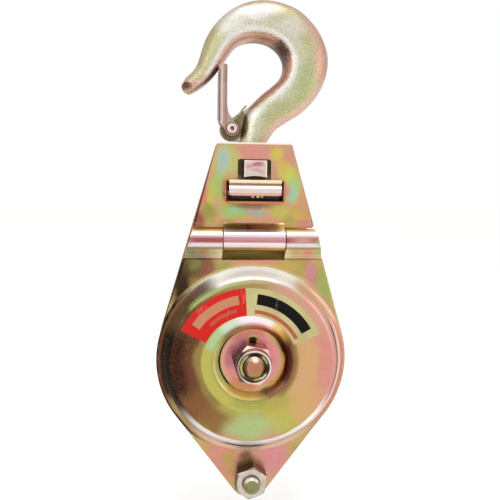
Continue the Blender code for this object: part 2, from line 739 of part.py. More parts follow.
def build_head_rivets():
    foot = CHEEK_OUTER_Y + SEAT_GAP
    tip_y = CHEEK_INNER_Y - RIVET_DEEP
    for side, x, z in rivet_places():
        profile = [(0.0, 0.0), (RIVET_R, 0.0), (RIVET_R, tip_y - foot), (RIVET_HEAD_R, tip_y - foot)]
        dome_steps = 5
        for k in range(1, dome_steps + 1):
            a = math.radians(90 * k / dome_steps)
            drop = RIVET_HEAD_H * math.sin(a)
            profile.append((RIVET_HEAD_R * math.cos(a), tip_y - foot - drop))
        profile[-1] = (0.0, profile[-1][1])
        rivet = turned("head_rivet_" + side, profile, 16, (x, tip_y, z), closed=False)
        set_finish(rivet, "fastener_chromate")


def build_swivel():
    washer_top = BLOCK_BOTTOM_Z - SEAT_GAP
    washer_bottom = washer_top - SWIVEL_WASHER_T
    washer = turned(
        "swivel_washer",
        [
            (SWIVEL_WASHER_R, washer_top),
            (SWIVEL_WASHER_R, washer_bottom),
            (THREAD_R + BOLT_GAP, washer_bottom),
            (THREAD_R + BOLT_GAP, washer_top),
        ],
        24, (0, 0, 0), Matrix.Identity(4),
    )
    set_finish(washer, "plain_zinc")
    nut_top = washer_bottom - SEAT_GAP
    nut_bottom = nut_top - SWIVEL_NUT_H
    corner_r = SWIVEL_NUT_FLATS / math.sqrt(3)
    bm = bmesh.new()
    bmesh.ops.create_cone(
        bm, cap_ends=True, segments=6, radius1=corner_r, radius2=corner_r, depth=SWIVEL_NUT_H,
        matrix=Matrix.Translation((0, 0, (nut_top + nut_bottom) / 2)),
    )
    nut = mesh_object("swivel_nut", bm)
    middle = (0, 0, (nut_top + nut_bottom) / 2)
    bore(nut, "swivel_nut_bore", THREAD_R + BOLT_GAP, middle, 8 * MM, Matrix.Identity(4))
    bore(nut, "swivel_nut_cross_hole", SWIVEL_PIN_R + BOLT_GAP, middle, 14 * MM, FACING_RIGHT, 16)
    set_finish(nut, "plain_zinc")
    reach = SWIVEL_NUT_FLATS / 2 + 0.4 * MM
    pin = turned(
        "swivel_pin", bolt_profile(SWIVEL_PIN_R, reach, -reach, 0.2 * MM), 14, middle,
        FACING_RIGHT, closed=False,
    )
    set_finish(pin, "spring_steel")
    return nut_bottom, middle


def hook_sections():
    """Sections of the hook from its nose to the threaded end of its shank, as point lists."""
    rows = []
    for outer, inner, half_t, square, lean in HOOK_STATIONS:
        rows.append([outer[0] * MM, outer[1] * MM, inner[0] * MM, inner[1] * MM,
                     half_t * MM, square, lean])
    rows.append([SHANK_R, PLATE_TOP_Z + 0.9 * MM, -SHANK_R, PLATE_TOP_Z + 0.9 * MM,
                 SHANK_R, 2.0, 0.0])
    smooth = []
    for i in range(len(rows) - 1):
        p0 = rows[max(i - 1, 0)]
        p1, p2 = rows[i], rows[i + 1]
        p3 = rows[min(i + 2, len(rows) - 1)]
        for t in (0.0, 0.5):
            smooth.append([catmull(a, b, c, d, t) for a, b, c, d in zip(p0, p1, p2, p3)])
    smooth.append(rows[-1])
    sections = []
    nose = smooth[0]
    for share in (0.94, 0.72, 0.36):
        sections.append(nose_section(nose, share))
    sections.reverse()
    sections += [section_points(*row) for row in smooth]
    return sections


def catmull(a, b, c, d, t):
    """Smooth value between b and c."""
    return 0.5 * (
        2 * b + (c - a) * t + (2 * a - 5 * b + 4 * c - d) * t * t
        + (3 * b - a - 3 * c + d) * t ** 3
    )


def section_points(ox, oz, ix, iz, half_t, square, lean):
    """One section of the hook: rounder or squarer with square, thicker inside with lean."""
    points = []
    for k in range(HOOK_SECTION_POINTS):
        a = 2 * math.pi * k / HOOK_SECTION_POINTS
        c, s = math.cos(a), math.sin(a)
        u = math.copysign(abs(c) ** (2 / square), c)
        v = math.copysign(abs(s) ** (2 / square), s) * (1 - lean * u)
        mid_x, mid_z = (ox + ix) / 2, (oz + iz) / 2
        points.append(Vector((
            mid_x + (ox - ix) / 2 * u,
            half_t * v,
            mid_z + (oz - iz) / 2 * u,
        )))
    return points


def nose_section(row, share):
    """A section of the rounded nose, share of the way from the first station to its end."""
    ox, oz, ix, iz, half_t, square, lean = row
    across = Vector((ox - ix, oz - iz)).normalized()
    ahead = Vector((across.y, -across.x))
    if ahead.x > 0:
        ahead = -ahead
    shrink = math.sqrt(1 - share * share)
    points = []
    middle = Vector(((ox + ix) / 2, 0, (oz + iz) / 2))
    shift = Vector((ahead.x, 0, ahead.y)) * HOOK_NOSE * share
    for point in section_points(ox, oz, ix, iz, half_t, square, lean):
        points.append(middle + (point - middle) * shrink + shift)
    return points


def build_hook(nut_bottom, cross_hole):
    sections = hook_sections()
    shank = [
        (SHANK_R, BLOCK_TOP_Z),
        (SHANK_R, BLOCK_BOTTOM_Z + 0.6 * MM),
        (THREAD_R, BLOCK_BOTTOM_Z + 0.2 * MM),
        (THREAD_R, nut_bottom - SWIVEL_END + 0.8 * MM),
        (THREAD_R - 0.8 * MM, nut_bottom - SWIVEL_END),
    ]
    for r, z in shank:
        sections.append(section_points(r, z, -r, z, r, 2.0, 0.0))
    bm = bmesh.new()
    rings = [[bm.verts.new(p) for p in section] for section in sections]
    for here, on in zip(rings, rings[1:]):
        for k in range(HOOK_SECTION_POINTS):
            m = (k + 1) % HOOK_SECTION_POINTS
            bm.faces.new((here[k], here[m], on[m], on[k]))
    bm.faces.new(rings[0])
    bm.faces.new(rings[-1])
    hook = mesh_object("hook", bm)

    lug_outline = arc((PIVOT_X, PIVOT_Z), LUG_R, 85, 270, 18)
    lug_outline += [(x * MM, z * MM) for x, z in LUG_ROOT]
    lug = slab("latch_lug", [lug_outline], FACING_FRONT, -LUG_HALF_T, LUG_HALF_T)
    boolean(hook, lug, "UNION")
    hole_r = HOOK_RIVET_R + BOLT_GAP
    lug_hole = (PIVOT_X, 0, PIVOT_Z)
    bore(hook, "lug_hole", hole_r, lug_hole, LUG_HALF_T + 2 * MM, steps=20)
    bore(hook, "shank_cross_hole", SWIVEL_PIN_R + BOLT_GAP, cross_hole, 8 * MM, FACING_RIGHT, 16)
    set_finish(hook, "forged_chromate", 50.0)


def build_hook_latch():
    """Channel that closes the hook's mouth: a web behind and a flange on each side."""
    back, rim, tip = HOOK_LATCH_BACK_X, HOOK_LATCH_RIM_X, HOOK_LATCH_TIP_Z
    sheet = HOOK_LATCH_SHEET
    spread = LUG_R + HOOK_LATCH_END_R
    outline = [
        (back, tip - HOOK_LATCH_SLANT_H),
        (back + HOOK_LATCH_SLANT_W, tip),
        (rim - sheet / 2, tip),
        (rim, tip - sheet / 2),
        (rim, PIVOT_Z + spread * 1.25),
        (rim + sheet / 2, PIVOT_Z + spread * 0.85),
        (PIVOT_X, PIVOT_Z + spread * 0.5),
    ]
    outline += arc((PIVOT_X, PIVOT_Z), HOOK_LATCH_END_R, 60, -165, 12)
    outline += [(back + sheet / 3, PIVOT_Z + spread * 0.4), (back, PIVOT_Z + spread * 0.6)]
    half_w = HOOK_LATCH_HALF_W
    latch = slab("hook_latch", [outline[::-1]], FACING_FRONT, -half_w, half_w)
    move_origin(latch, (PIVOT_X, 0, PIVOT_Z))
    web_x = back + sheet
    past = HOOK_LATCH_TIP_Z - PIVOT_Z
    trough = [
        (web_x, PIVOT_Z - past),
        (PIVOT_X + past, PIVOT_Z - past),
        (PIVOT_X + past, tip + past),
        (web_x, tip + past),
    ]
    inner = half_w - sheet
    boolean(latch, slab("latch_trough", [trough], FACING_FRONT, -inner, inner), "DIFFERENCE")
    clear_r = LUG_R + RUN_GAP
    profile = [(0.0, inner), (clear_r, inner), (clear_r, -inner), (0.0, -inner)]
    room = turned("lug_room", profile, 28, (PIVOT_X, 0, PIVOT_Z), closed=False)
    boolean(latch, room, "DIFFERENCE")
    hole_r = HOOK_RIVET_R + BOLT_GAP
    bore(latch, "latch_rivet_hole", hole_r, (PIVOT_X, 0, PIVOT_Z), 2 * half_w, steps=20)
    set_finish(latch, "latch_chromate")


def build_hook_latch_rivet():
    face = HOOK_LATCH_HALF_W + SEAT_GAP
    rim_h = HOOK_RIVET_RIM_H
    crown_h = HOOK_RIVET_CROWN_H
    half = [
        (0.0, face + crown_h),
        (HOOK_RIVET_CROWN_R * 0.6, face + crown_h * 0.9),
        (HOOK_RIVET_CROWN_R, face + rim_h),
        (HOOK_RIVET_HEAD_R - rim_h / 2, face + rim_h),
        (HOOK_RIVET_HEAD_R, face + rim_h / 2),
        (HOOK_RIVET_HEAD_R, face),
        (HOOK_RIVET_R, face),
    ]
    profile = half + [(r, -h) for r, h in reversed(half)]
    rivet = turned("hook_latch_rivet", profile, 16, (PIVOT_X, 0, PIVOT_Z), closed=False)
    set_finish(rivet, "latch_chromate")


def wire(name, points, radius):
    """A bent wire through the points, with round section and flat ends."""
    data = bpy.data.curves.new(name, "CURVE")
    data.dimensions = "3D"
    data.bevel_depth = radius
    data.bevel_resolution = 1
    data.use_fill_caps = True
    spline = data.splines.new("POLY")
    spline.points.add(len(points) - 1)
    for point, co in zip(spline.points, points):
        point.co = (*co, 1.0)
    obj = bpy.data.objects.new(name + "_path", data)
    PARTS.objects.link(obj)
    return curve_to_mesh(obj, name)


def coil_points(centre, radius, axis, start, turns, begin_degrees, pitch, per_turn=12):
    """Points along a helix about the x or y axis through centre."""
    points = []
    count = round(turns * per_turn)
    for k in range(count + 1):
        a = math.radians(begin_degrees + 360.0 * k / per_turn)
        along = start + pitch * k / per_turn
        c, s = radius * math.cos(a), radius * math.sin(a)
        if axis == "y":
            points.append(Vector((centre[0] + c, along, centre[1] + s)))
        else:
            points.append(Vector((along, centre[0] + c, centre[1] + s)))
    return points


def build_hook_latch_spring():
    """Torsion spring on the rivet: one leg on the neck of the hook, one behind the latch."""
    first_y = -LUG_HALF_T - SEAT_GAP - SPRING_WIRE_R
    pitch = -2.3 * SPRING_WIRE_R
    turns = 2.0
    coil = coil_points((PIVOT_X, PIVOT_Z), SPRING_COIL_R, "y", first_y, turns, 135, pitch)
    last_y = first_y + pitch * turns
    web_x = HOOK_LATCH_BACK_X + HOOK_LATCH_SHEET + SEAT_GAP + SPRING_WIRE_R
    web_leg = [
        Vector((web_x, first_y, PIVOT_Z + 6.3 * SPRING_COIL_R)),
        Vector((web_x + SEAT_GAP, first_y, PIVOT_Z + 3 * SPRING_COIL_R)),
    ]
    neck_leg = [
        Vector((PIVOT_X + 0.6 * SPRING_COIL_R, last_y, PIVOT_Z + 1.8 * SPRING_COIL_R)),
        Vector((PIVOT_X + 2.3 * SPRING_COIL_R, last_y, PIVOT_Z + 4.0 * SPRING_COIL_R)),
        Vector((PIVOT_X + 2.9 * SPRING_COIL_R, last_y - SPRING_WIRE_R, PIVOT_Z + 4.7 * SPRING_COIL_R)),
    ]
    spring = wire("hook_latch_spring", web_leg + coil + neck_leg, SPRING_WIRE_R)
    set_finish(spring, "spring_steel", 60.0)


def build_latch_bracket():
    half = LATCH_HALF_W + RUN_GAP + LATCH_SHEET
    inner = LATCH_HALF_W + RUN_GAP
    top_z = LATCH_TOP_Z - LATCH_SHEET / 2
    lip_y = LATCH_FRONT_Y + GATE_LATCH_FRONT[-1][0] * MM
    lip_swing = math.hypot(lip_y - LATCH_PIN_Y, LATCH_TOP_Z - LATCH_BAR_H - LATCH_PIN_Z)
    sill_z = LATCH_PIN_Z - lip_swing
    bottom_z = sill_z - LATCH_SHEET
    corner = LATCH_SHEET * 1.3
    outer_left = arc((-half + corner, bottom_z + corner), corner, 180, 270, 4)
    outer_right = arc((half - corner, bottom_z + corner), corner, 270, 360, 4)
    outline = [(-half, top_z)] + outer_left + outer_right + [(half, top_z)]
    outline += [(inner, top_z), (inner, sill_z), (-inner, sill_z), (-inner, top_z)]
    back_y = GATE_FACE_Y - SEAT_GAP
    bracket = slab("latch_bracket", [outline], FACING_FRONT, BRACKET_FRONT_Y, back_y)
    round_front_edges(bracket, BRACKET_FRONT_Y, 0.35 * MM)
    place = (0, LATCH_PIN_Y, LATCH_PIN_Z)
    bore(bracket, "bracket_pin_hole", LATCH_PIN_R + BOLT_GAP, place, 20 * MM, FACING_RIGHT, 18)
    set_finish(bracket, "gate_chromate")


def build_gate_latch():
    """Thumb latch: a flange under the tongue, a bulged front and two ears on the pin."""
    front = LATCH_FRONT_Y
    top = LATCH_TOP_Z
    end_y = GATE_FACE_Y - LATCH_FLANGE_GAP
    section = [(end_y, top)]
    section += [(front + back * MM, top - down * MM) for back, down in GATE_LATCH_FRONT]
    section += [(front + back * MM, top - down * MM) for back, down in GATE_LATCH_BACK]
    section.append((end_y, top - LATCH_SHEET))
    latch = slab("gate_latch", [section], FACING_RIGHT, -LATCH_HALF_W, LATCH_HALF_W)
    place = (0, LATCH_PIN_Y, LATCH_PIN_Z)
    move_origin(latch, place)
    ear_r = LATCH_PIN_R + LATCH_SHEET
    ear_front = front + LATCH_SHEET
    ear = [
        (ear_front, LATCH_PIN_Z + ear_r),
        (ear_front + LATCH_SHEET, top - LATCH_SHEET / 2),
        (end_y - LATCH_SHEET / 4, top - LATCH_SHEET / 2),
    ]
    ear += arc((LATCH_PIN_Y, LATCH_PIN_Z), ear_r, 20, -110, 8)
    ear += [(ear_front, LATCH_PIN_Z - LATCH_SHEET / 2)]
    inset = 0.1 * MM
    for name, low, high in (
        ("left_ear", -LATCH_HALF_W + inset, -LATCH_HALF_W + inset + LATCH_SHEET),
        ("right_ear", LATCH_HALF_W - inset - LATCH_SHEET, LATCH_HALF_W - inset),
    ):
        boolean(latch, slab(name, [ear[::-1]], FACING_RIGHT, low, high), "UNION")
    corner = 2 * LATCH_SHEET
    low_z = top - LATCH_BAR_H
    trim = [(-LATCH_HALF_W - MM, top + MM)]
    trim += arc((-LATCH_HALF_W + corner, low_z + corner), corner, 180, 270, 5)
    trim += arc((LATCH_HALF_W - corner, low_z + corner), corner, 270, 360, 5)
    trim += [(LATCH_HALF_W + MM, top + MM)]
    front_shape = slab("latch_trim", [trim], FACING_FRONT, front - MM, GATE_FACE_Y + MM)
    boolean(latch, front_shape, "INTERSECT")
    hole_r = LATCH_PIN_R + BOLT_GAP
    bore(latch, "ear_pin_hole", hole_r, place, 2 * LATCH_HALF_W, FACING_RIGHT, 18)
    set_finish(latch, "latch_chromate")


def build_gate_latch_pin_and_spring():
    reach = LATCH_HALF_W + RUN_GAP + LATCH_SHEET + 0.5 * MM
    place = (0, LATCH_PIN_Y, LATCH_PIN_Z)
    pin = turned(
        "gate_latch_pin", bolt_profile(LATCH_PIN_R, reach, -reach, 0.2 * MM), 16, place,
        FACING_RIGHT, closed=False,
    )
    set_finish(pin, "spring_steel")
    wire_r = LATCH_SPRING_WIRE_R
    coil_r = LATCH_PIN_R + wire_r + SEAT_GAP
    pitch = 3.1 * wire_r
    turns = 5.25
    start_x = -turns / 3 * pitch
    coil = coil_points((LATCH_PIN_Y, LATCH_PIN_Z), coil_r, "x", start_x, turns, 180, pitch, 8)
    end_x = start_x + pitch * turns
    lever_leg = [Vector((start_x, LATCH_PIN_Y - coil_r + wire_r / 2, LATCH_PIN_Z + 1.2 * coil_r))]
    gate_leg = [Vector((end_x, GATE_FACE_Y - SEAT_GAP - wire_r, LATCH_PIN_Z - coil_r))]
    spring = wire("gate_latch_spring", lever_leg + coil + gate_leg, wire_r)
    set_finish(spring, "spring_steel", 60.0)


def build_sheave():
    half_hub = DISH_INNER_Y - 0.8 * MM
    bore_r = AXLE_R + BOLT_GAP + BUSH_WALL + BOLT_GAP
    groove_centre = SHEAVE_R - GROOVE_DEPTH + GROOVE_R
    lip_half = SHEAVE_RIM_HALF_W - 3.0 * MM
    web_r = SHEAVE_R - 11.5 * MM
    groove = arc((groove_centre, 0.0), GROOVE_R, 110, 250, 6)
    upper = [
        (bore_r, half_hub),
        (SHEAVE_HUB_R, half_hub),
        (SHEAVE_HUB_R + 1.0 * MM, SHEAVE_WEB_HALF_W),
        (web_r, SHEAVE_WEB_HALF_W),
        (web_r + 1.6 * MM, SHEAVE_RIM_HALF_W - 1.4 * MM),
        (SHEAVE_R - 0.8 * MM, SHEAVE_RIM_HALF_W),
        (SHEAVE_R, SHEAVE_RIM_HALF_W - 0.8 * MM),
        (SHEAVE_R, lip_half),
    ]
    lower = [(r, -h) for r, h in reversed(upper)]
    sheave = turned("sheave", upper + groove + lower, 32, (0, 0, AXLE_Z))
    set_finish(sheave, "sheave_steel")
    half = DISH_INNER_Y - SEAT_GAP
    inner_r = AXLE_R + BOLT_GAP
    outer_r = inner_r + BUSH_WALL
    bush = turned(
        "sheave_bush", [(outer_r, half), (outer_r, -half), (inner_r, -half), (inner_r, half)],
        24, (0, 0, AXLE_Z),
    )
    set_finish(bush, "bush_bronze")


def build_axle():
    seat = DISH_OUTER_Y + SEAT_GAP
    nut_face = seat + AXLE_NUT_H
    end = nut_face + COLLAR_H + AXLE_END
    head = hexagon(
        "axle_bolt", AXLE_FLATS, (0, 0, AXLE_Z), -seat, -seat - AXLE_HEAD_H, 0, "bottom"
    )
    shank = turned(
        "axle_shank", bolt_profile(AXLE_R, end, -seat - 2 * MM, 1.6 * MM), 28, (0, 0, AXLE_Z),
        closed=False,
    )
    boolean(head, shank, "UNION")
    set_finish(head, "fastener_chromate")

    centre = (0, 0, AXLE_Z)
    nut = hexagon("axle_nut", AXLE_FLATS, centre, nut_face, seat, AXLE_NUT_TURN, "top")
    collar = turned(
        "nut_collar",
        [
            (0.0, nut_face + COLLAR_H),
            (COLLAR_R - COLLAR_EDGE, nut_face + COLLAR_H),
            (COLLAR_R, nut_face + COLLAR_H - COLLAR_EDGE),
            (COLLAR_R, nut_face - COLLAR_ROOT),
            (0.0, nut_face - COLLAR_ROOT),
        ],
        32, (0, 0, AXLE_Z), closed=False,
    )
    boolean(nut, collar, "UNION")
    ring_face = nut_face + COLLAR_H
    ring_top = ring_face - NUT_RING_DEEP
    ring_bottom = ring_top - NUT_RING_T
    seat_profile = [
        (0.0, ring_face + MM),
        (NUT_RING_R, ring_face + MM),
        (NUT_RING_R, ring_bottom - SEAT_GAP),
        (0.0, ring_bottom - SEAT_GAP),
    ]
    boolean(nut, turned("ring_seat", seat_profile, 32, centre, closed=False), "DIFFERENCE")
    bore(nut, "axle_nut_bore", AXLE_R + BOLT_GAP, centre, 40 * MM, steps=32)
    set_finish(nut, "fastener_chromate")

    outer_r = NUT_RING_R - SEAT_GAP / 2
    inner_r = AXLE_R + BOLT_GAP
    ring = turned(
        "axle_nut_ring",
        [(outer_r, ring_top), (outer_r, ring_bottom), (inner_r, ring_bottom), (inner_r, ring_top)],
        32, centre,
    )
    past = NUT_RING_R + MM
    across = RING_NOTCH_HALF_W
    upright = [
        (-across, AXLE_Z - past), (across, AXLE_Z - past),
        (across, AXLE_Z + past), (-across, AXLE_Z + past),
    ]
    short = [
        (0.0, AXLE_Z - across / 3), (past, AXLE_Z - across / 3),
        (past, AXLE_Z + across / 3), (0.0, AXLE_Z + across / 3),
    ]
    for name, outline in (("ring_notches", upright), ("ring_side_notch", short)):
        floor_y = -ring_top + RING_NOTCH_DEEP
        boolean(ring, slab(name, [outline], FACING_FRONT, -ring_top - MM, floor_y), "DIFFERENCE")
    set_finish(ring, "spring_steel")


def tail_seat():
    """Where the tail nut and bolt head seat: the highest ground that they stand on."""
    near = AXLE_Z - TAIL_Z - TAIL_FLATS / math.sqrt(3)
    return CHEEK_OUTER_Y + pressed_height(near) + SEAT_GAP


def build_tail():
    seat = tail_seat()
    nut_face = seat + TAIL_NUT_H
    centre = (0, 0, TAIL_Z)
    head = hexagon("tail_bolt", TAIL_FLATS, centre, -seat, -seat - TAIL_HEAD_H, 0, "bottom")
    profile = bolt_profile(TAIL_BOLT_R, nut_face + TAIL_END, -seat - 2 * MM, 0.9 * MM)
    boolean(head, turned("tail_shank", profile, 28, centre, closed=False), "UNION")
    set_finish(head, "fastener_chromate")
    nut = hexagon("tail_nut", TAIL_FLATS, centre, nut_face, seat, TAIL_NUT_TURN, "top")
    bore(nut, "tail_nut_bore", TAIL_BOLT_R + BOLT_GAP, centre, 40 * MM)
    set_finish(nut, "plain_zinc")
    half = CHEEK_INNER_Y - SEAT_GAP
    inner_r = TAIL_BOLT_R + BOLT_GAP
    outer_r = inner_r + SPACER_WALL
    spacer = turned(
        "tail_spacer", [(outer_r, half), (outer_r, -half), (inner_r, -half), (inner_r, half)],
        24, centre,
    )
    set_finish(spacer, "plain_zinc")


def build():
    build_front_cheek()
    build_rear_cheek()
    build_gate()
    build_hinge_pin()
    build_head_block()
    build_head_rivets()
    nut_bottom, cross_hole = build_swivel()
    build_hook(nut_bottom, cross_hole)
    build_hook_latch()
    build_hook_latch_rivet()
    build_hook_latch_spring()
    build_latch_bracket()
    build_gate_latch()
    build_gate_latch_pin_and_spring()
    build_sheave()
    build_axle()
    build_tail()
    bpy.context.view_layer.update()


build()
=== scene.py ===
"""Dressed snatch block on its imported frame.

Finer sheet metal, forging and turned pieces stand for the faceted solids, in worn yellow
chromate, with a two-colour label and a plain pale studio. Metres, +Z up, front towards -Y.
"""
import json
import math

import bmesh
import bpy
from mathutils import Matrix, Vector

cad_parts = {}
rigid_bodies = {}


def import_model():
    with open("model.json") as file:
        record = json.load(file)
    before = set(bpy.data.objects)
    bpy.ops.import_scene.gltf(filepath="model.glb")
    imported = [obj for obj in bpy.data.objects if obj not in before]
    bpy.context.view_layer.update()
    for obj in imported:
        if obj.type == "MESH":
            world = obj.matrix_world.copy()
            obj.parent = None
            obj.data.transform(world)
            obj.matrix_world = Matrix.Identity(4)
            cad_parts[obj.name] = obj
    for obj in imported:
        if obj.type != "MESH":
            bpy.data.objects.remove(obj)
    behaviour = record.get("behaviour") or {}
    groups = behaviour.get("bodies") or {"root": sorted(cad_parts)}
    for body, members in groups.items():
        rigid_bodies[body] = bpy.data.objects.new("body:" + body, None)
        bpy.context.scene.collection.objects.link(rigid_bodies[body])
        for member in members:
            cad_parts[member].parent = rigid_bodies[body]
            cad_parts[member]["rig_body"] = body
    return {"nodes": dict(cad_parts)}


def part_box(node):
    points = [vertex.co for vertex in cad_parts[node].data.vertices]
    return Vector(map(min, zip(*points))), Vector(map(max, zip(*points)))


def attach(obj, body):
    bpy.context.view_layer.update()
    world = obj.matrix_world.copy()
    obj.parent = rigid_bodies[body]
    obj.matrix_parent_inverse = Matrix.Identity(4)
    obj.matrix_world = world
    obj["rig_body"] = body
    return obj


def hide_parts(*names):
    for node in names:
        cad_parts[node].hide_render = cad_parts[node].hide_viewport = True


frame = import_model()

MM = 0.001
SCENE = bpy.context.scene.collection
NODES = frame["nodes"]
TOOLS = []


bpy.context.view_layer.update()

# Camera, as it stood for the photograph
CAMERA_PLACE = (-27.5 * MM, -305.0 * MM, -68.0 * MM)
CAMERA_YAW = 5.06       # degrees to the right of +Y
CAMERA_PITCH = 5.6      # degrees below level
CAMERA_ROLL = 0.8
FOCAL_PIXELS = 634.0
PICTURE = 500.0         # pixels across
SENSOR = 36.0

# Studio
WORLD_LEVEL = 0.67
FLOOR_Z = -0.232
FLOOR_SIZE = 14.0
FLOOR_LIFT = 0.46       # glow that takes the paper to white where it shows
SOFTBOXES = [           # name, place, aim, width, height, watts
    ("top_box", (0.05, -0.25, 0.75), (0, 0, -0.1), 0.6, 0.4, 1.6),
    ("left_box", (-0.6, -0.8, 0.25), (0, 0, -0.12), 0.4, 0.6, 1.4),
    ("right_box", (0.8, -0.5, 0.1), (0, 0, -0.12), 0.4, 0.6, 1.0),
]

# Rounded edges of the turned and hexagonal pieces
AXLE_EDGE = 0.25 * MM
RING_EDGE = 0.1 * MM
TAIL_EDGE = 0.2 * MM
SHEAVE_EDGE = 0.3 * MM

# and of the solids that are shown as they are, in mm
EDGE_WIDTHS = {
    "gate": 0.12, "gate_latch": 0.12, "latch_bracket": 0.15, "hook_latch": 0.25,
    "head_block": 0.3, "swivel_nut": 0.3, "swivel_washer": 0.15, "hook_latch_rivet": 0.1,
    "tail_spacer": 0.2, "hook_latch_spring": 0, "gate_latch_spring": 0, "hinge_pin": 0,
    "gate_latch_pin": 0,
}

# Levels and sizes, as in the solids
SEAT_GAP = 0.3 * MM
RUN_GAP = 0.5 * MM
BOLT_GAP = 0.3 * MM
PLATE_TOP_Z = -47.3 * MM
HINGE_Z = -91.8 * MM
AXLE_Z = -149.0 * MM
TAIL_Z = -207.4 * MM
SHEET_T = 2.3 * MM
CHEEK_INNER_Y = 9.5 * MM
CHEEK_OUTER_Y = CHEEK_INNER_Y + SHEET_T
CHEEK_R = 45.0 * MM
TAIL_R = 10.0 * MM
TOP_HALF_W = 17.2 * MM
EDGE_ROUND = 0.9 * MM
PRESSED_RISE = 5.5 * MM
DISH_RISE = 1.8 * MM
DISH_OUTER_Y = CHEEK_OUTER_Y + DISH_RISE
DISH_INNER_Y = DISH_OUTER_Y - SHEET_T
DISH_FLOOR_R = 15.0 * MM
DISH_LIP_R = 20.4 * MM
SHOULDER_R = 38.2 * MM
FOOT_R = SHOULDER_R + 6.4 * MM
SHEAVE_R = 37.5 * MM
SHEAVE_RIM_HALF_W = 10.7 * MM
GROOVE_R = 5.5 * MM
GROOVE_DEPTH = 8.0 * MM
GROOVE_LIP = 3.0 * MM
SHEAVE_RIM_DEPTH = 11.5 * MM
SHEAVE_HUB_R = 13.5 * MM
HUB_END_GAP = 0.8 * MM
SHEAVE_WEB_HALF_W = 4.2 * MM
AXLE_R = 5.2 * MM
BUSH_WALL = 2.6 * MM
AXLE_FLATS = 17.0 * MM
AXLE_HEAD_H = 7.0 * MM
AXLE_NUT_H = 9.4 * MM
COLLAR_R = 8.0 * MM
COLLAR_H = 2.8 * MM
AXLE_END = 1.0 * MM
NUT_RING_R = 6.7 * MM
NUT_RING_T = 1.3 * MM
NUT_RING_DEEP = 0.2 * MM
RING_NOTCH_HALF_W = 3.2 * MM
RING_NOTCH_DEEP = 0.8 * MM
AXLE_NUT_TURN = 19.0
KEY_NOTCH_HALF_W = 2.4 * MM
KEY_NOTCH_TOP = 9.7 * MM
TAIL_BOLT_R = 4.0 * MM
TAIL_FLATS = 14.0 * MM
TAIL_NUT_H = 6.5 * MM
TAIL_HEAD_H = 5.3 * MM
TAIL_END = 3.4 * MM
TAIL_NUT_TURN = -8.0
AXLE_CHAMFER = 1.6 * MM
TAIL_CHAMFER = 0.9 * MM
COLLAR_ROUND = 0.8 * MM
SHANK_LAP = 2 * MM      # how far a bolt's shank reaches into its head
BARREL_R = 5.1 * MM
KNUCKLE_HALF_W = 14.1 * MM
KNUCKLE_SET_IN = 0.6 * MM
CHEEK_BEND_DOWN = 9.3 * MM
BEND_R = 2.6 * MM
CURL_END = 45.0
PIN_CENTRE = (-(CHEEK_INNER_Y + BARREL_R), HINGE_Z)
BLOCK_TOP_Z = -50.4 * MM
BLOCK_BOTTOM_Z = -66.8 * MM
SHANK_R = 6.5 * MM
NECK_Z = PLATE_TOP_Z + 0.9 * MM
THREAD_R = 5.0 * MM
THREAD_CHAMFER = 0.8 * MM
PIVOT_X = -10.3 * MM
PIVOT_Z = -40.6 * MM
LUG_R = 5.5 * MM
LUG_ROOT = [(-2.5, -46.1), (0.0, -36.0), (1.8, -27.6)]
LUG_HALF_T = 2.0 * MM
HOOK_RIVET_R = 1.3 * MM
RIVET_R = 2.4 * MM
RIVET_X = 10.8 * MM

# How fine the pieces are drawn, and what counts as sharp or as one place
ROUND_STEPS = 96
HOOK_SECTION_POINTS = 56
HOOK_SPLIT = 7
ARC_STEPS = 56
TAIL_ARC_STEPS = 14
STRAIGHT_STEP = 2.5 * MM
FLOOR_ROWS = [8 * MM, 11 * MM, 13.5 * MM]   # rows on the flat floor of a cheek's dish
ROW_STEP = 0.6 * MM     # between rows on its pressing, about
SAME_PLACE = 1e-6
WELD_REACH = 2e-6
SHARP_ANGLE = 34.0
FORGED_ANGLE = 50.0     # the same for forged and bent forms
BEVEL_ANGLE = 30.0
CHAMFER_ANGLE = 30.0
THROUGH = 6 * MM        # reach of a bore each way, enough for a sheet
LONG_THROUGH = 40 * MM  # and for a nut

# Sections of the hook from its point to its neck: outer and inner (x, z), half thickness, how
# square and how much thicker inside
HOOK_STATIONS = [
    ((-33.1, -19.4), (-28.7, -24.3), 3.6, 2.1, 0.00),
    ((-31.9, -17.3), (-26.3, -23.0), 4.4, 2.1, 0.00),
    ((-29.1, -14.7), (-22.3, -20.0), 5.2, 2.2, 0.02),
    ((-26.8, -11.5), (-19.2, -16.7), 5.8, 2.2, 0.04),
    ((-25.4, -7.6), (-16.6, -13.3), 6.4, 2.3, 0.06),
    ((-24.2, -3.4), (-14.2, -10.0), 6.9, 2.3, 0.08),
    ((-22.0, 1.9), (-11.8, -6.4), 7.4, 2.4, 0.10),
    ((-17.7, 8.3), (-9.0, -3.0), 7.8, 2.4, 0.12),
    ((-10.1, 14.8), (-4.9, -0.7), 8.1, 2.5, 0.14),
    ((0.2, 18.7), (0.5, 0.0), 8.3, 2.5, 0.15),
    ((10.9, 18.5), (6.0, -1.0), 8.4, 2.5, 0.15),
    ((21.4, 14.6), (10.5, -3.9), 8.4, 2.5, 0.15),
    ((30.0, 6.3), (13.1, -7.7), 8.4, 2.5, 0.15),
    ((34.8, -4.3), (13.8, -12.1), 8.3, 2.5, 0.15),
    ((34.5, -14.8), (12.3, -16.5), 8.1, 2.5, 0.14),
    ((30.1, -24.5), (8.9, -20.1), 7.9, 2.5, 0.12),
    ((23.1, -32.1), (4.1, -24.0), 7.6, 2.4, 0.10),
    ((16.2, -36.6), (0.1, -27.9), 7.3, 2.3, 0.07),
    ((11.3, -40.0), (-3.3, -31.9), 7.0, 2.2, 0.04),
    ((9.0, -42.8), (-5.2, -37.3), 6.8, 2.1, 0.01),
]
HOOK_NOSE = 2.6 * MM

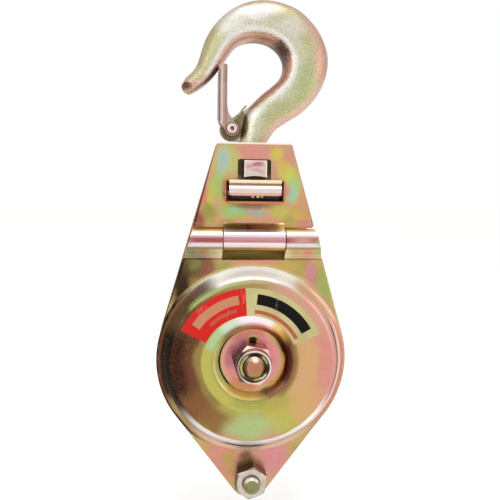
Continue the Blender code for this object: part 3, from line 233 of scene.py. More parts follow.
FACING_FRONT = Matrix(((1, 0, 0, 0), (0, 0, -1, 0), (0, 1, 0, 0), (0, 0, 0, 1)))
FACING_RIGHT = Matrix(((0, 0, 1, 0), (1, 0, 0, 0), (0, 1, 0, 0), (0, 0, 0, 1)))


def add_object(name, data):
    obj = bpy.data.objects.new(name, data)
    SCENE.objects.link(obj)
    return obj


def mesh_object(name, bm):
    bmesh.ops.recalc_face_normals(bm, faces=bm.faces)
    mesh = bpy.data.meshes.new(name)
    bm.to_mesh(mesh)
    bm.free()
    return add_object(name, mesh)


def evaluated_mesh(obj):
    """A copy of what the object looks like with its modifiers."""
    bpy.context.view_layer.update()
    evaluated = obj.evaluated_get(bpy.context.evaluated_depsgraph_get())
    return bpy.data.meshes.new_from_object(evaluated)


def boolean(obj, tool, operation):
    """Cut, join or trim obj with a tool, which goes once the piece is settled."""
    TOOLS.append(tool)
    modifier = obj.modifiers.new(tool.name, "BOOLEAN")
    modifier.operation = operation
    modifier.solver = "EXACT"
    modifier.object = tool


def smooth(mesh, sharp):
    mesh.shade_smooth()
    mesh.set_sharp_from_angle(angle=math.radians(sharp))


def settle(obj, node, sharp=SHARP_ANGLE, bevel=0.0):
    """Make the modifiers real, keep the piece in its solid's box and let it stand for it."""
    mesh = evaluated_mesh(obj)
    mesh.transform(obj.matrix_world)
    obj.modifiers.clear()
    obj.data = mesh
    obj.matrix_world = Matrix.Identity(4)
    while TOOLS:
        bpy.data.objects.remove(TOOLS.pop(), do_unlink=True)
    low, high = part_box(node)
    for vertex in mesh.vertices:
        vertex.co = [min(max(c, a), b) for c, a, b in zip(vertex.co, low, high)]
    smooth(mesh, sharp)
    if bevel:
        add_bevel(obj, bevel)
    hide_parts(node)
    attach(obj, NODES[node]["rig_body"])
    return obj


def add_bevel(obj, width):
    modifier = obj.modifiers.new("edge", "BEVEL")
    modifier.width = width
    modifier.segments = 2
    modifier.limit_method = "ANGLE"
    modifier.angle_limit = math.radians(BEVEL_ANGLE)
    modifier.harden_normals = True
    modifier.use_clamp_overlap = True


def soften(node, width):
    """Weld a solid that is shown as it is, and round its sharp edges."""
    obj = NODES[node]
    obj.modifiers.new("weld", "WELD").merge_threshold = WELD_REACH
    if width:
        add_bevel(obj, width)


def slab(name, outline, frame_matrix, low, high):
    """Extrude a flat outline from low to high."""
    data = bpy.data.curves.new(name, "CURVE")
    data.dimensions = "2D"
    data.fill_mode = "BOTH"
    data.extrude = (high - low) / 2
    spline = data.splines.new("POLY")
    spline.points.add(len(outline) - 1)
    for point, (u, v) in zip(spline.points, outline):
        point.co = (u, v, 0.0, 1.0)
    spline.use_cyclic_u = True
    drawn = add_object(name + "_outline", data)
    middle = (low + high) / 2
    across = Vector((0, middle, 0)) if frame_matrix is FACING_FRONT else Vector((middle, 0, 0))
    drawn.matrix_world = Matrix.Translation(across) @ frame_matrix
    bm = bmesh.new()
    bm.from_mesh(evaluated_mesh(drawn))
    bmesh.ops.remove_doubles(bm, verts=bm.verts, dist=SAME_PLACE)
    obj = mesh_object(name, bm)
    obj.matrix_world = drawn.matrix_world.copy()
    bpy.data.objects.remove(drawn, do_unlink=True)
    return obj


def turned(name, profile, origin, closed=True, steps=ROUND_STEPS):
    """Spin (radius, height) points about a line that faces the front."""
    bm = bmesh.new()
    loops = []
    for r, h in profile:
        angles = [2 * math.pi * k / steps for k in range(steps)] if r else [0.0]
        loops.append([bm.verts.new((r * math.cos(a), r * math.sin(a), h)) for a in angles])
    pairs = list(zip(loops, loops[1:]))
    if closed:
        pairs.append((loops[-1], loops[0]))
    for a, b in pairs:
        for k in range(steps):
            m = (k + 1) % steps
            if len(a) == 1:
                bm.faces.new((a[0], b[k], b[m]))
            elif len(b) == 1:
                bm.faces.new((a[k], b[0], a[m]))
            else:
                bm.faces.new((a[k], b[k], b[m], a[m]))
    obj = mesh_object(name, bm)
    obj.matrix_world = Matrix.Translation(origin) @ FACING_FRONT
    return obj


def rod(name, profile, origin):
    """A turned solid whose two end faces are flat."""
    first, last = (0.0, profile[0][1]), (0.0, profile[-1][1])
    return turned(name, [first] + profile + [last], origin, closed=False)


def bolt_shank(name, radius, top, bottom, chamfer, origin):
    return rod(name, [
        (radius - chamfer, top), (radius, top - chamfer),
        (radius, bottom + chamfer), (radius - chamfer, bottom),
    ], origin)


def bore(obj, name, radius, origin, reach=THROUGH):
    boolean(obj, rod(name, [(radius, reach), (radius, -reach)], origin), "DIFFERENCE")


def hexagon(name, across_flats, origin, top, bottom, turn_degrees, chamfered_end):
    """A hexagonal prism that faces the front, with its corners chamfered by a cone at one end."""
    corner_r = across_flats / math.sqrt(3)
    bm = bmesh.new()
    turn = Matrix.Rotation(math.radians(turn_degrees), 4, "Z")
    shift = Matrix.Translation((0, 0, (top + bottom) / 2))
    bmesh.ops.create_cone(
        bm, cap_ends=True, segments=6, radius1=corner_r, radius2=corner_r,
        depth=top - bottom, matrix=shift @ turn,
    )
    obj = mesh_object(name, bm)
    obj.matrix_world = Matrix.Translation(origin) @ FACING_FRONT
    wide = corner_r * 1.02              # the cone's foot, past the corners
    flat_r = across_flats / 2 * 0.97    # and its top, inside the flats
    drop = (wide - flat_r) * math.tan(math.radians(CHAMFER_ANGLE))
    past = 0.5 * MM
    if chamfered_end == "top":
        cone = [(flat_r, top), (wide, top - drop), (wide, bottom - past)]
    else:
        cone = [(wide, top + past), (wide, bottom + drop), (flat_r, bottom)]
    boolean(obj, rod(name + "_chamfer", cone, origin), "INTERSECT")
    return obj


def rectangle(x0, z0, x1, z1):
    return [(x0, z0), (x1, z0), (x1, z1), (x0, z1)]


def arc(centre, radius, start, end, steps):
    angles = [math.radians(start + (end - start) * i / steps) for i in range(steps + 1)]
    return [(centre[0] + radius * math.cos(a), centre[1] + radius * math.sin(a)) for a in angles]


def side_normal():
    """Degrees of the normal of a cheek's straight side, which touches its round part."""
    corner = Vector((TOP_HALF_W, PLATE_TOP_Z - AXLE_Z))
    return math.degrees(math.atan2(corner.y, corner.x) - math.acos(CHEEK_R / corner.length))


def half_width_at(z):
    tilt = math.radians(side_normal())
    return (CHEEK_R - (z - AXLE_Z) * math.sin(tilt)) / math.cos(tilt)


def between(a, b, step):
    """Points between a and b, both left out, about a step apart."""
    count = max(1, round(math.dist(a, b) / step))
    out = []
    for k in range(1, count):
        t = k / count
        out.append((a[0] + (b[0] - a[0]) * t, a[1] + (b[1] - a[1]) * t))
    return out


def cheek_outline(top_z):
    """Right side, tail, left side and top edge of a cheek, clockwise, from the axle."""
    upper = side_normal()
    lower = -math.degrees(math.asin((CHEEK_R - TAIL_R) / (AXLE_Z - TAIL_Z)))
    top = (half_width_at(top_z), top_z - AXLE_Z)
    side = arc((0.0, 0.0), CHEEK_R, upper, lower, ARC_STEPS)
    tail = arc((0.0, TAIL_Z - AXLE_Z), TAIL_R, lower, -90.0, TAIL_ARC_STEPS)
    right = [top] + between(top, side[0], STRAIGHT_STEP) + side
    right += between(side[-1], tail[0], STRAIGHT_STEP) + tail
    left = [(-x, z) for x, z in reversed(right[:-1])]
    return [Vector(p) for p in right + left + between(left[-1], top, STRAIGHT_STEP)]


def inset(outline, width):
    """The outline moved in by an even width, with mitred corners."""
    moved = []
    for i, here in enumerate(outline):
        back = (here - outline[i - 1]).normalized()
        on = (outline[(i + 1) % len(outline)] - here).normalized()
        from_back = Vector((back.y, -back.x))
        both = (from_back + Vector((on.y, -on.x))).normalized()
        moved.append(here + both * width / both.dot(from_back))
    return moved


PRESSED_PROFILE = [
    (DISH_FLOOR_R, DISH_RISE),
    (DISH_FLOOR_R + 0.7 * MM, DISH_RISE + 0.7 * MM),
    (DISH_FLOOR_R + 1.7 * MM, DISH_RISE + 2.0 * MM),
    (DISH_LIP_R - 2.4 * MM, PRESSED_RISE - 0.7 * MM),
    (DISH_LIP_R - 0.9 * MM, PRESSED_RISE - 0.2 * MM),
    (DISH_LIP_R + 0.8 * MM, PRESSED_RISE),
    ((DISH_LIP_R + SHOULDER_R) / 2, PRESSED_RISE + 0.3 * MM),
    (SHOULDER_R - 2.4 * MM, PRESSED_RISE),
    (SHOULDER_R, PRESSED_RISE - 0.5 * MM),
    (SHOULDER_R + 1.7 * MM, PRESSED_RISE - 1.7 * MM),
    (FOOT_R - 2.0 * MM, 1.1 * MM),
    (FOOT_R - 0.6 * MM, 0.35 * MM),
    (FOOT_R + 1.0 * MM, 0.0),
]


def profile_slopes():
    """Slope at each point of the profile for a curve that never overshoots."""
    steps = [(b[1] - a[1]) / (b[0] - a[0]) for a, b in zip(PRESSED_PROFILE, PRESSED_PROFILE[1:])]
    slopes = [0.0]
    for a, b in zip(steps, steps[1:]):
        slopes.append(0.0 if a * b <= 0 else 2 * a * b / (a + b))
    return slopes + [0.0]


SLOPES = profile_slopes()


def pressed_height(r):
    """How far the outer face stands out of the flat sheet at a distance from the axle."""
    if r <= PRESSED_PROFILE[0][0]:
        return DISH_RISE
    for i in range(len(PRESSED_PROFILE) - 1):
        (r0, h0), (r1, h1) = PRESSED_PROFILE[i], PRESSED_PROFILE[i + 1]
        if r <= r1:
            w = r1 - r0
            t = (r - r0) / w
            return (
                h0 * (1 + 2 * t) * (1 - t) ** 2 + h1 * t * t * (3 - 2 * t)
                + SLOPES[i] * w * t * (1 - t) ** 2 - SLOPES[i + 1] * w * t * t * (1 - t)
            )
    return 0.0


def pressed_thickness(r):
    step = 0.8 * MM
    slope = (pressed_height(r + step) - pressed_height(r - step)) / (2 * step)
    return SHEET_T * math.sqrt(1 + slope * slope)


def face_radii():
    """Radii of the rows on a cheek's face, closest where the pressing turns."""
    radii = [AXLE_R + BOLT_GAP] + FLOOR_ROWS
    for a, b in zip(PRESSED_PROFILE, PRESSED_PROFILE[1:]):
        count = max(2, min(4, round((b[0] - a[0]) / ROW_STEP)))
        radii += [a[0] + (b[0] - a[0]) * k / count for k in range(count)]
    return radii + [PRESSED_PROFILE[-1][0]]


def cheek_section(rim, edge):
    """Closed section of a cheek from the axle hole to its rim: (place, height) points."""
    radii = face_radii()
    last = rim.length - EDGE_ROUND
    spacing = 0.1 * MM
    outer = [min(r, last - (len(radii) - k) * spacing) for k, r in enumerate(radii)]
    way = rim.normalized()
    section = [(way * r, pressed_height(r)) for r in outer]
    rim_h = pressed_height(edge.length)
    turn_steps = 4
    for k in range(turn_steps + 1):
        a = math.radians(90 * k / turn_steps)
        place = edge + (rim - edge) * math.sin(a)
        section.append((place, rim_h - EDGE_ROUND * (1 - math.cos(a))))
    thick = pressed_thickness(rim.length)
    section.append((rim, rim_h - thick + 0.3 * MM))
    section.append((rim + (edge - rim) * 0.35, rim_h - thick))
    for r in outer[::-3]:
        section.append((way * r, pressed_height(r) - pressed_thickness(r)))
    return section


def pressed_cheek(name, top_z, facing):
    outline = cheek_outline(top_z)
    bm = bmesh.new()
    rings = []
    for rim, edge in zip(outline, inset(outline, EDGE_ROUND)):
        ring = []
        for place, h in cheek_section(rim, edge):
            ring.append(bm.verts.new((place.x, facing * (CHEEK_OUTER_Y + h), AXLE_Z + place.y)))
        rings.append(ring)
    count = len(rings[0])
    for i in range(len(rings)):
        here, on = rings[i], rings[(i + 1) % len(rings)]
        for k in range(count):
            m = (k + 1) % count
            bm.faces.new((here[k], here[m], on[m], on[k]))
    return mesh_object(name, bm)


def thick_path(path, thickness):
    """Outline of a strip of even thickness along a path."""
    left, right = [], []
    for i, here in enumerate(path):
        before = path[max(i - 1, 0)]
        after = path[min(i + 1, len(path) - 1)]
        along = (after - before).normalized()
        side = Vector((-along.y, along.x))
        stretch = 1.0
        if 0 < i < len(path) - 1:
            leg = (here - before).normalized()
            stretch = 1.0 / max(0.5, leg.dot(along))
        left.append(tuple(here + side * thickness / 2 * stretch))
        right.append(tuple(here - side * thickness / 2 * stretch))
    return left + right[::-1]


def curl_outline(bend_z, start_z):
    """Section of a sheet that leaves the plate, passes in front of the pin and curls round it."""
    up = 1.0 if bend_z < HINGE_Z else -1.0
    centre = Vector(PIN_CENTRE)
    middle_r = BARREL_R - SHEET_T / 2
    plate_y = -(CHEEK_INNER_Y + SHEET_T / 2)
    corner = Vector((plate_y, bend_z))
    to_pin = centre - corner
    turn = math.asin(middle_r / to_pin.length)
    heading = math.atan2(to_pin.y, to_pin.x) + up * turn
    way = Vector((math.cos(heading), math.sin(heading)))
    tangent = corner + way * math.sqrt(to_pin.length ** 2 - middle_r ** 2)
    bend_angle = abs(Vector((0.0, up)).angle(way))
    reach = BEND_R * math.tan(bend_angle / 2)
    bend_centre = Vector((plate_y - BEND_R, bend_z - up * reach))
    path = [Vector((plate_y, start_z))]
    bend_steps = 10
    for k in range(bend_steps + 1):
        a = bend_angle * k / bend_steps
        swing = Vector((math.cos(a), up * math.sin(a))) * BEND_R
        path.append(bend_centre + swing)
    first = math.degrees(math.atan2((tangent - centre).y, (tangent - centre).x)) % 360
    last = 360 + CURL_END if up < 0 else -CURL_END
    curl_steps = 48
    for k in range(curl_steps + 1):
        a = math.radians(first + (last - first) * k / curl_steps)
        path.append(centre + Vector((math.cos(a), math.sin(a))) * middle_r)
    return thick_path(path, SHEET_T)


def build_front_cheek():
    top_z = HINGE_Z - CHEEK_BEND_DOWN
    cheek = pressed_cheek("cheek_front_pressing", top_z, -1)
    overlap_z = top_z - SHEET_T
    inner_x = KNUCKLE_HALF_W + RUN_GAP
    outer_x = half_width_at(overlap_z)
    high_z = HINGE_Z + BARREL_R + MM
    low_z = overlap_z - MM
    taper = [
        (side * (half_width_at(z) - KNUCKLE_SET_IN), z)
        for side, z in ((-1, low_z), (1, low_z), (1, high_z), (-1, high_z))
    ]
    front_y = -CHEEK_INNER_Y - 2 * BARREL_R - MM
    for name, low, high in (
        ("left_knuckle", -outer_x, -inner_x),
        ("right_knuckle", inner_x, outer_x),
    ):
        curl = slab(name, curl_outline(top_z, overlap_z), FACING_RIGHT, low, high)
        trim = slab(name + "_taper", taper, FACING_FRONT, front_y, -CHEEK_INNER_Y + MM)
        boolean(curl, trim, "INTERSECT")
        boolean(cheek, curl, "UNION")
    notch_z = AXLE_Z + KEY_NOTCH_TOP - KEY_NOTCH_HALF_W
    notch = arc((0.0, notch_z), KEY_NOTCH_HALF_W, 0, 180, 24)
    notch += [(-KEY_NOTCH_HALF_W, AXLE_Z), (KEY_NOTCH_HALF_W, AXLE_Z)]
    key = slab("key_notch", notch, FACING_FRONT, -DISH_OUTER_Y - MM, -DISH_INNER_Y + MM)
    boolean(cheek, key, "DIFFERENCE")
    bore(cheek, "front_tail_hole", TAIL_BOLT_R + BOLT_GAP, (0, -CHEEK_OUTER_Y, TAIL_Z))
    return settle(cheek, "front_cheek")


def build_rear_cheek():
    cheek = pressed_cheek("cheek_rear_pressing", PLATE_TOP_Z, 1)
    bore(cheek, "rear_tail_hole", TAIL_BOLT_R + BOLT_GAP, (0, CHEEK_OUTER_Y, TAIL_Z))
    level = (BLOCK_TOP_Z + BLOCK_BOTTOM_Z) / 2
    for side, x in (("left", -RIVET_X), ("right", RIVET_X)):
        bore(cheek, "rear_rivet_hole_" + side, RIVET_R + BOLT_GAP, (x, CHEEK_OUTER_Y, level))
    return settle(cheek, "rear_cheek")


def catmull(a, b, c, d, t):
    """The curve between b and c at a share t, with a and d as the neighbours."""
    return 0.5 * (
        2 * b + (c - a) * t + (2 * a - 5 * b + 4 * c - d) * t * t
        + (3 * b - a - 3 * c + d) * t ** 3
    )


def section_points(ox, oz, ix, iz, half_t, square, lean):
    """One section of the hook: rounder or squarer with square, thicker inside with lean."""
    points = []
    for k in range(HOOK_SECTION_POINTS):
        a = 2 * math.pi * k / HOOK_SECTION_POINTS
        c, s = math.cos(a), math.sin(a)
        u = math.copysign(abs(c) ** (2 / square), c)
        v = math.copysign(abs(s) ** (2 / square), s) * (1 - lean * u)
        mid_x, mid_z = (ox + ix) / 2, (oz + iz) / 2
        points.append(Vector((
            mid_x + (ox - ix) / 2 * u,
            half_t * v,
            mid_z + (oz - iz) / 2 * u,
        )))
    return points


def nose_section(row, share):
    """A section of the round nose, a share of the way from the first station to its tip."""
    ox, oz, ix, iz, half_t, square, lean = row
    across = Vector((ox - ix, oz - iz)).normalized()
    ahead = Vector((across.y, -across.x))
    if ahead.x > 0:
        ahead = -ahead
    shrink = math.sqrt(1 - share * share)
    middle = Vector(((ox + ix) / 2, 0, (oz + iz) / 2))
    shift = Vector((ahead.x, 0, ahead.y)) * HOOK_NOSE * share
    points = section_points(ox, oz, ix, iz, half_t, square, lean)
    return [middle + (point - middle) * shrink + shift for point in points]


def hook_sections():
    """The nose's sections, then the stations with smooth steps between them."""
    rows = [
        [v * MM for v in (*outer, *inner, half_t)] + [square, lean]
        for outer, inner, half_t, square, lean in HOOK_STATIONS
    ]
    rows.append([SHANK_R, NECK_Z, -SHANK_R, NECK_Z, SHANK_R, 2.0, 0.0])
    drawn = []
    for i in range(len(rows) - 1):
        near = rows[max(i - 1, 0)], rows[i], rows[i + 1], rows[min(i + 2, len(rows) - 1)]
        for k in range(HOOK_SPLIT):
            drawn.append([catmull(*values, k / HOOK_SPLIT) for values in zip(*near)])
    drawn.append(rows[-1])
    shares = (0.998, 0.98, 0.94, 0.87, 0.76, 0.62, 0.45, 0.26, 0.1)
    sections = [nose_section(drawn[0], share) for share in shares]
    return sections + [section_points(*row) for row in drawn]


def build_hook():
    sections = hook_sections()
    nut_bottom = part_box("swivel_nut")[0][2]
    shank = [
        (SHANK_R, BLOCK_TOP_Z),
        (SHANK_R, BLOCK_BOTTOM_Z + 0.6 * MM),
        (THREAD_R, BLOCK_BOTTOM_Z + 0.2 * MM),
        (THREAD_R, nut_bottom - 0.4 * MM),
        (THREAD_R - THREAD_CHAMFER, nut_bottom - 1.2 * MM),
    ]
    for r, z in shank:
        sections.append(section_points(r, z, -r, z, r, 2.0, 0.0))
    bm = bmesh.new()
    rings = [[bm.verts.new(p) for p in section] for section in sections]
    for here, on in zip(rings, rings[1:]):
        for k in range(HOOK_SECTION_POINTS):
            m = (k + 1) % HOOK_SECTION_POINTS
            bm.faces.new((here[k], here[m], on[m], on[k]))
    bm.faces.new(rings[0])
    bm.faces.new(rings[-1])
    hook = mesh_object("hook_forging", bm)
    lug_outline = arc((PIVOT_X, PIVOT_Z), LUG_R, 85, 270, 40)
    lug_outline += [(x * MM, z * MM) for x, z in LUG_ROOT]
    lug = slab("latch_lug", lug_outline, FACING_FRONT, -LUG_HALF_T, LUG_HALF_T)
    boolean(hook, lug, "UNION")
    bore(hook, "lug_hole", HOOK_RIVET_R + BOLT_GAP, (PIVOT_X, 0, PIVOT_Z), LUG_HALF_T + 2 * MM)
    return settle(hook, "hook", sharp=FORGED_ANGLE)


def build_sheave():
    half_hub = DISH_INNER_Y - HUB_END_GAP
    bore_r = AXLE_R + BOLT_GAP + BUSH_WALL + BOLT_GAP
    groove_centre = SHEAVE_R - GROOVE_DEPTH + GROOVE_R
    lip_half = SHEAVE_RIM_HALF_W - GROOVE_LIP
    web_r = SHEAVE_R - SHEAVE_RIM_DEPTH
    upper = [
        (bore_r, half_hub),
        (SHEAVE_HUB_R, half_hub),
        (SHEAVE_HUB_R + 1.0 * MM, SHEAVE_WEB_HALF_W),
        (web_r, SHEAVE_WEB_HALF_W),
        (web_r + 1.6 * MM, SHEAVE_RIM_HALF_W - 1.4 * MM),
        (SHEAVE_R - 0.8 * MM, SHEAVE_RIM_HALF_W),
        (SHEAVE_R, SHEAVE_RIM_HALF_W - 0.8 * MM),
        (SHEAVE_R, lip_half),
    ]
    lower = [(r, -h) for r, h in reversed(upper)]
    groove = arc((groove_centre, 0.0), GROOVE_R, 110, 250, 20)
    sheave = turned("sheave_wheel", upper + groove + lower, (0, 0, AXLE_Z), steps=144)
    return settle(sheave, "sheave", bevel=SHEAVE_EDGE)


def build_axle():
    seat = DISH_OUTER_Y + SEAT_GAP
    nut_face = seat + AXLE_NUT_H
    end = nut_face + COLLAR_H + AXLE_END
    centre = (0, 0, AXLE_Z)
    head = hexagon("axle_head", AXLE_FLATS, centre, -seat, -seat - AXLE_HEAD_H, 0, "bottom")
    shank = bolt_shank("axle_shank", AXLE_R, end, -seat - SHANK_LAP, AXLE_CHAMFER, centre)
    boolean(head, shank, "UNION")
    bolt = settle(head, "axle_bolt", bevel=AXLE_EDGE)

    nut = hexagon("axle_nut_body", AXLE_FLATS, centre, nut_face, seat, AXLE_NUT_TURN, "top")
    ring_face = nut_face + COLLAR_H
    halfway = 0.23 * MM     # what the collar's rounded edge lacks at 45 degrees
    collar = rod("nut_collar", [
        (COLLAR_R - COLLAR_ROUND, ring_face),
        (COLLAR_R - halfway, ring_face - halfway),
        (COLLAR_R, ring_face - COLLAR_ROUND),
        (COLLAR_R, nut_face - MM),
    ], centre)
    boolean(nut, collar, "UNION")
    ring_top = ring_face - NUT_RING_DEEP
    ring_bottom = ring_top - NUT_RING_T
    room = [(NUT_RING_R, ring_face + MM), (NUT_RING_R, ring_bottom - SEAT_GAP)]
    boolean(nut, rod("ring_seat", room, centre), "DIFFERENCE")
    bore(nut, "axle_nut_bore", AXLE_R + BOLT_GAP, centre, LONG_THROUGH)
    nut = settle(nut, "axle_nut", bevel=AXLE_EDGE)

    outer_r = NUT_RING_R - SEAT_GAP / 2
    inner_r = AXLE_R + BOLT_GAP
    profile = [
        (outer_r, ring_top), (outer_r, ring_bottom), (inner_r, ring_bottom), (inner_r, ring_top),
    ]
    ring = turned("nut_ring", profile, centre)
    past = NUT_RING_R + MM
    half_w = RING_NOTCH_HALF_W
    side_w = half_w / 3
    for name, outline in (
        ("ring_notches", rectangle(-half_w, AXLE_Z - past, half_w, AXLE_Z + past)),
        ("ring_side_notch", rectangle(0.0, AXLE_Z - side_w, past, AXLE_Z + side_w)),
    ):
        floor_y = -ring_top + RING_NOTCH_DEEP
        boolean(ring, slab(name, outline, FACING_FRONT, -ring_top - MM, floor_y), "DIFFERENCE")
    return bolt, nut, settle(ring, "axle_nut_ring", bevel=RING_EDGE)


def build_tail():
    near = AXLE_Z - TAIL_Z - TAIL_FLATS / math.sqrt(3)
    seat = CHEEK_OUTER_Y + pressed_height(near) + SEAT_GAP
    nut_face = seat + TAIL_NUT_H
    centre = (0, 0, TAIL_Z)
    head = hexagon("tail_head", TAIL_FLATS, centre, -seat, -seat - TAIL_HEAD_H, 0, "bottom")
    end = nut_face + TAIL_END
    lap = -seat - SHANK_LAP
    shank = bolt_shank("tail_shank", TAIL_BOLT_R, end, lap, TAIL_CHAMFER, centre)
    boolean(head, shank, "UNION")
    bolt = settle(head, "tail_bolt", bevel=TAIL_EDGE)
    nut = hexagon("tail_nut_body", TAIL_FLATS, centre, nut_face, seat, TAIL_NUT_TURN, "top")
    bore(nut, "tail_nut_bore", TAIL_BOLT_R + BOLT_GAP, centre, LONG_THROUGH)
    return bolt, settle(nut, "tail_nut", bevel=TAIL_EDGE)


# Finishes
def tone(rgb):
    """A picture tone of 0 to 255 as a linear colour."""
    parts = [c / 255 for c in rgb]
    return (*[p / 12.92 if p <= 0.04045 else ((p + 0.055) / 1.055) ** 2.4 for p in parts], 1.0)


def put(tree, socket, value):
    """Link a socket to another one, or set it."""
    if isinstance(value, bpy.types.NodeSocket):
        tree.links.new(value, socket)
    else:
        socket.default_value = value


def add_node(tree, kind, inputs, **settings):
    """A new node with its settings and inputs, each a socket or a value."""
    node = tree.nodes.new("ShaderNode" + kind)
    for name, value in settings.items():
        setattr(node, name, value)
    for key, value in inputs.items():
        put(tree, node.inputs[key], value)
    return node


class Paint:
    """A procedural finish whose colour is laid on field by field, in the object's own frame."""

    def __init__(self, name, metallic, roughness):
        self.material = bpy.data.materials.new(name)
        self.material.use_nodes = True
        self.tree = self.material.node_tree
        self.shader = self.tree.nodes["Principled BSDF"]
        self.set("Metallic", metallic)
        self.set("Roughness", roughness)
        coords = self.node("TexCoord", {}).outputs
        self.place = coords["Object"]
        self.normal = coords["Normal"]
        self.colour = None

    def set(self, name, value):
        """Set an input of the finish's shader."""
        put(self.tree, self.shader.inputs[name], value)

    def node(self, kind, inputs, **settings):
        return add_node(self.tree, kind, inputs, **settings)

    def math(self, operation, *values, clamp=False):
        inputs = dict(enumerate(values))
        return self.node("Math", inputs, operation=operation, use_clamp=clamp).outputs[0]

    def times(self, a, b):
        return self.math("MULTIPLY", a, b)

    def vector(self, operation, *values):
        node = self.node("VectorMath", dict(enumerate(values)), operation=operation)
        return node.outputs["Value" if operation in ("LENGTH", "DOT_PRODUCT") else "Vector"]

    def dot(self, a, b):
        return self.vector("DOT_PRODUCT", a, b)

    def ease(self, value, start, end):
        """0 at start and 1 at end, with soft ends; start may be the larger."""
        inputs = {"Value": value, "From Min": start, "From Max": end}
        return self.node("MapRange", inputs, interpolation_type="SMOOTHSTEP").outputs["Result"]

    def noise(self, size, detail=3.0, seed=0.0, stretch=(1, 1, 1), distortion=0.0):
        """Noise whose blotches are about size across, in metres."""
        moved = self.node("Mapping", {
            "Location": (seed, seed * 0.7, -seed), "Scale": [s / size for s in stretch],
            "Vector": self.place,
        })
        return self.node("TexNoise", {
            "Scale": 1.0, "Detail": detail, "Distortion": distortion,
            "Vector": moved.outputs["Vector"],
        }).outputs["Fac"]

    def ramp(self, factor, stops):
        node = self.node("ValToRGB", {"Fac": factor})
        elements = node.color_ramp.elements
        while len(elements) < len(stops):
            elements.new(0.5)
        for element, (at, rgb) in zip(elements, stops):
            element.position = at
            element.color = tone(rgb)
        return node.outputs["Color"]

    def lay(self, rgb, mask, share=1.0):
        """Lay a tone, or a colour socket, over what is there."""
        if share != 1.0:
            mask = self.times(mask, share)
        over = rgb if isinstance(rgb, bpy.types.NodeSocket) else tone(rgb)
        inputs = {"Factor": mask, "A": self.colour, "B": over}
        self.colour = self.node("Mix", inputs, data_type="RGBA").outputs["Result"]

    def lay_rows(self, rows, mask):
        """Lay the tone of each row by its share, where mask makes a mask of its other values."""
        for *shape, rgb, share in rows:
            self.lay(rgb, mask(*shape), share)

    def facing(self, way, start, end):
        """1 where the surface faces a way, 0 where it doesn't."""
        way = Vector(way).normalized()
        return self.ease(self.dot(self.normal, tuple(way)), start, end)

    def beyond(self, way, level, soft=0.3):
        """1 where the place along a way is more than a level in mm, 0 where it is less."""
        along = self.dot(self.place, way)
        return self.ease(along, (level - soft) * MM, (level + soft) * MM)

    def line(self, start, end, half):
        """A soft straight line through two (x, z) points in mm."""
        (x0, z0), (x1, z1) = start, end
        length = math.hypot(x1 - x0, z1 - z0)
        across = ((z1 - z0) / length, 0.0, (x0 - x1) / length)
        level = (x0 * across[0] + z0 * across[2]) * MM
        off = self.math("SUBTRACT", self.dot(self.place, across), level)
        return self.ease(self.math("ABSOLUTE", off), half * MM, half * 0.4 * MM)

    def warp(self, size, strength, seed=0.0):
        """Places shaken by noise, so that the edges of fields wander."""
        shift = self.vector("ADD", self.place, (seed, seed, seed))
        shake = self.node("TexNoise", {"Scale": 1.0 / size, "Detail": 2.0, "Vector": shift})
        centred = self.vector("SUBTRACT", shake.outputs["Color"], (0.5, 0.5, 0.5))
        scaled = self.node("VectorMath", {0: centred, "Scale": strength}, operation="SCALE")
        return self.vector("ADD", self.place, scaled.outputs["Vector"])

    def spot(self, place, x, z, wide, high, core=0.25):
        """A soft field about (x, z) in mm, 1 at its middle and 0 at its edge."""
        offset = self.vector("SUBTRACT", place, (x * MM, 0.0, z * MM))
        squeezed = self.vector("MULTIPLY", offset, (1 / (wide * MM), 0.0, 1 / (high * MM)))
        return self.ease(self.vector("LENGTH", squeezed), 1.0, core)

    def about(self, place, x, z):
        """(distance in mm, way) of places from a line along y through (x, z) in mm."""
        offset = self.vector("SUBTRACT", place, (x * MM, 0.0, z * MM))
        flat = self.vector("MULTIPLY", offset, (1.0, 0.0, 1.0))
        return self.times(self.vector("LENGTH", flat), 1 / MM), self.vector("NORMALIZE", flat)

    def ring(self, polar, radius, half, way, half_way, core=0.3):
        """A soft piece of a ring: its middle radius, then its middle in degrees from the top."""
        distance, heading = polar
        off = self.math("ABSOLUTE", self.math("SUBTRACT", distance, radius))
        mask = self.ease(off, half, half * core)
        if half_way >= 180:
            return mask
        a = math.radians(way)
        turn = self.dot(heading, (math.sin(a), 0.0, math.cos(a)))
        ends = [math.cos(math.radians(half_way * k)) for k in (1.0, 0.5)]
        return self.times(mask, self.ease(turn, *ends))

    def bump(self, height, strength, distance):
        inputs = {"Strength": strength, "Distance": distance, "Height": height}
        self.set("Normal", self.node("Bump", inputs).outputs["Normal"])

    def finish(self, roughness):
        self.set("Base Color", self.colour)
        self.set("Roughness", roughness)
        return self.material


WHITE = (240, 232, 226)
ROSE = (206, 132, 128)
UMBER = (60, 36, 26)
BLACK = (26, 17, 14)
LEFT, RIGHT, UP, DOWN = (-1, 0, 0), (1, 0, 0), (0, 0, 1), (0, 0, -1)
FRONT, BACK = (0, -1, 0), (0, 1, 0)


def range_of(paint, value, low, high):
    """A 0 to 1 value spread from low to high."""
    return paint.math("MULTIPLY_ADD", value, high - low, low)


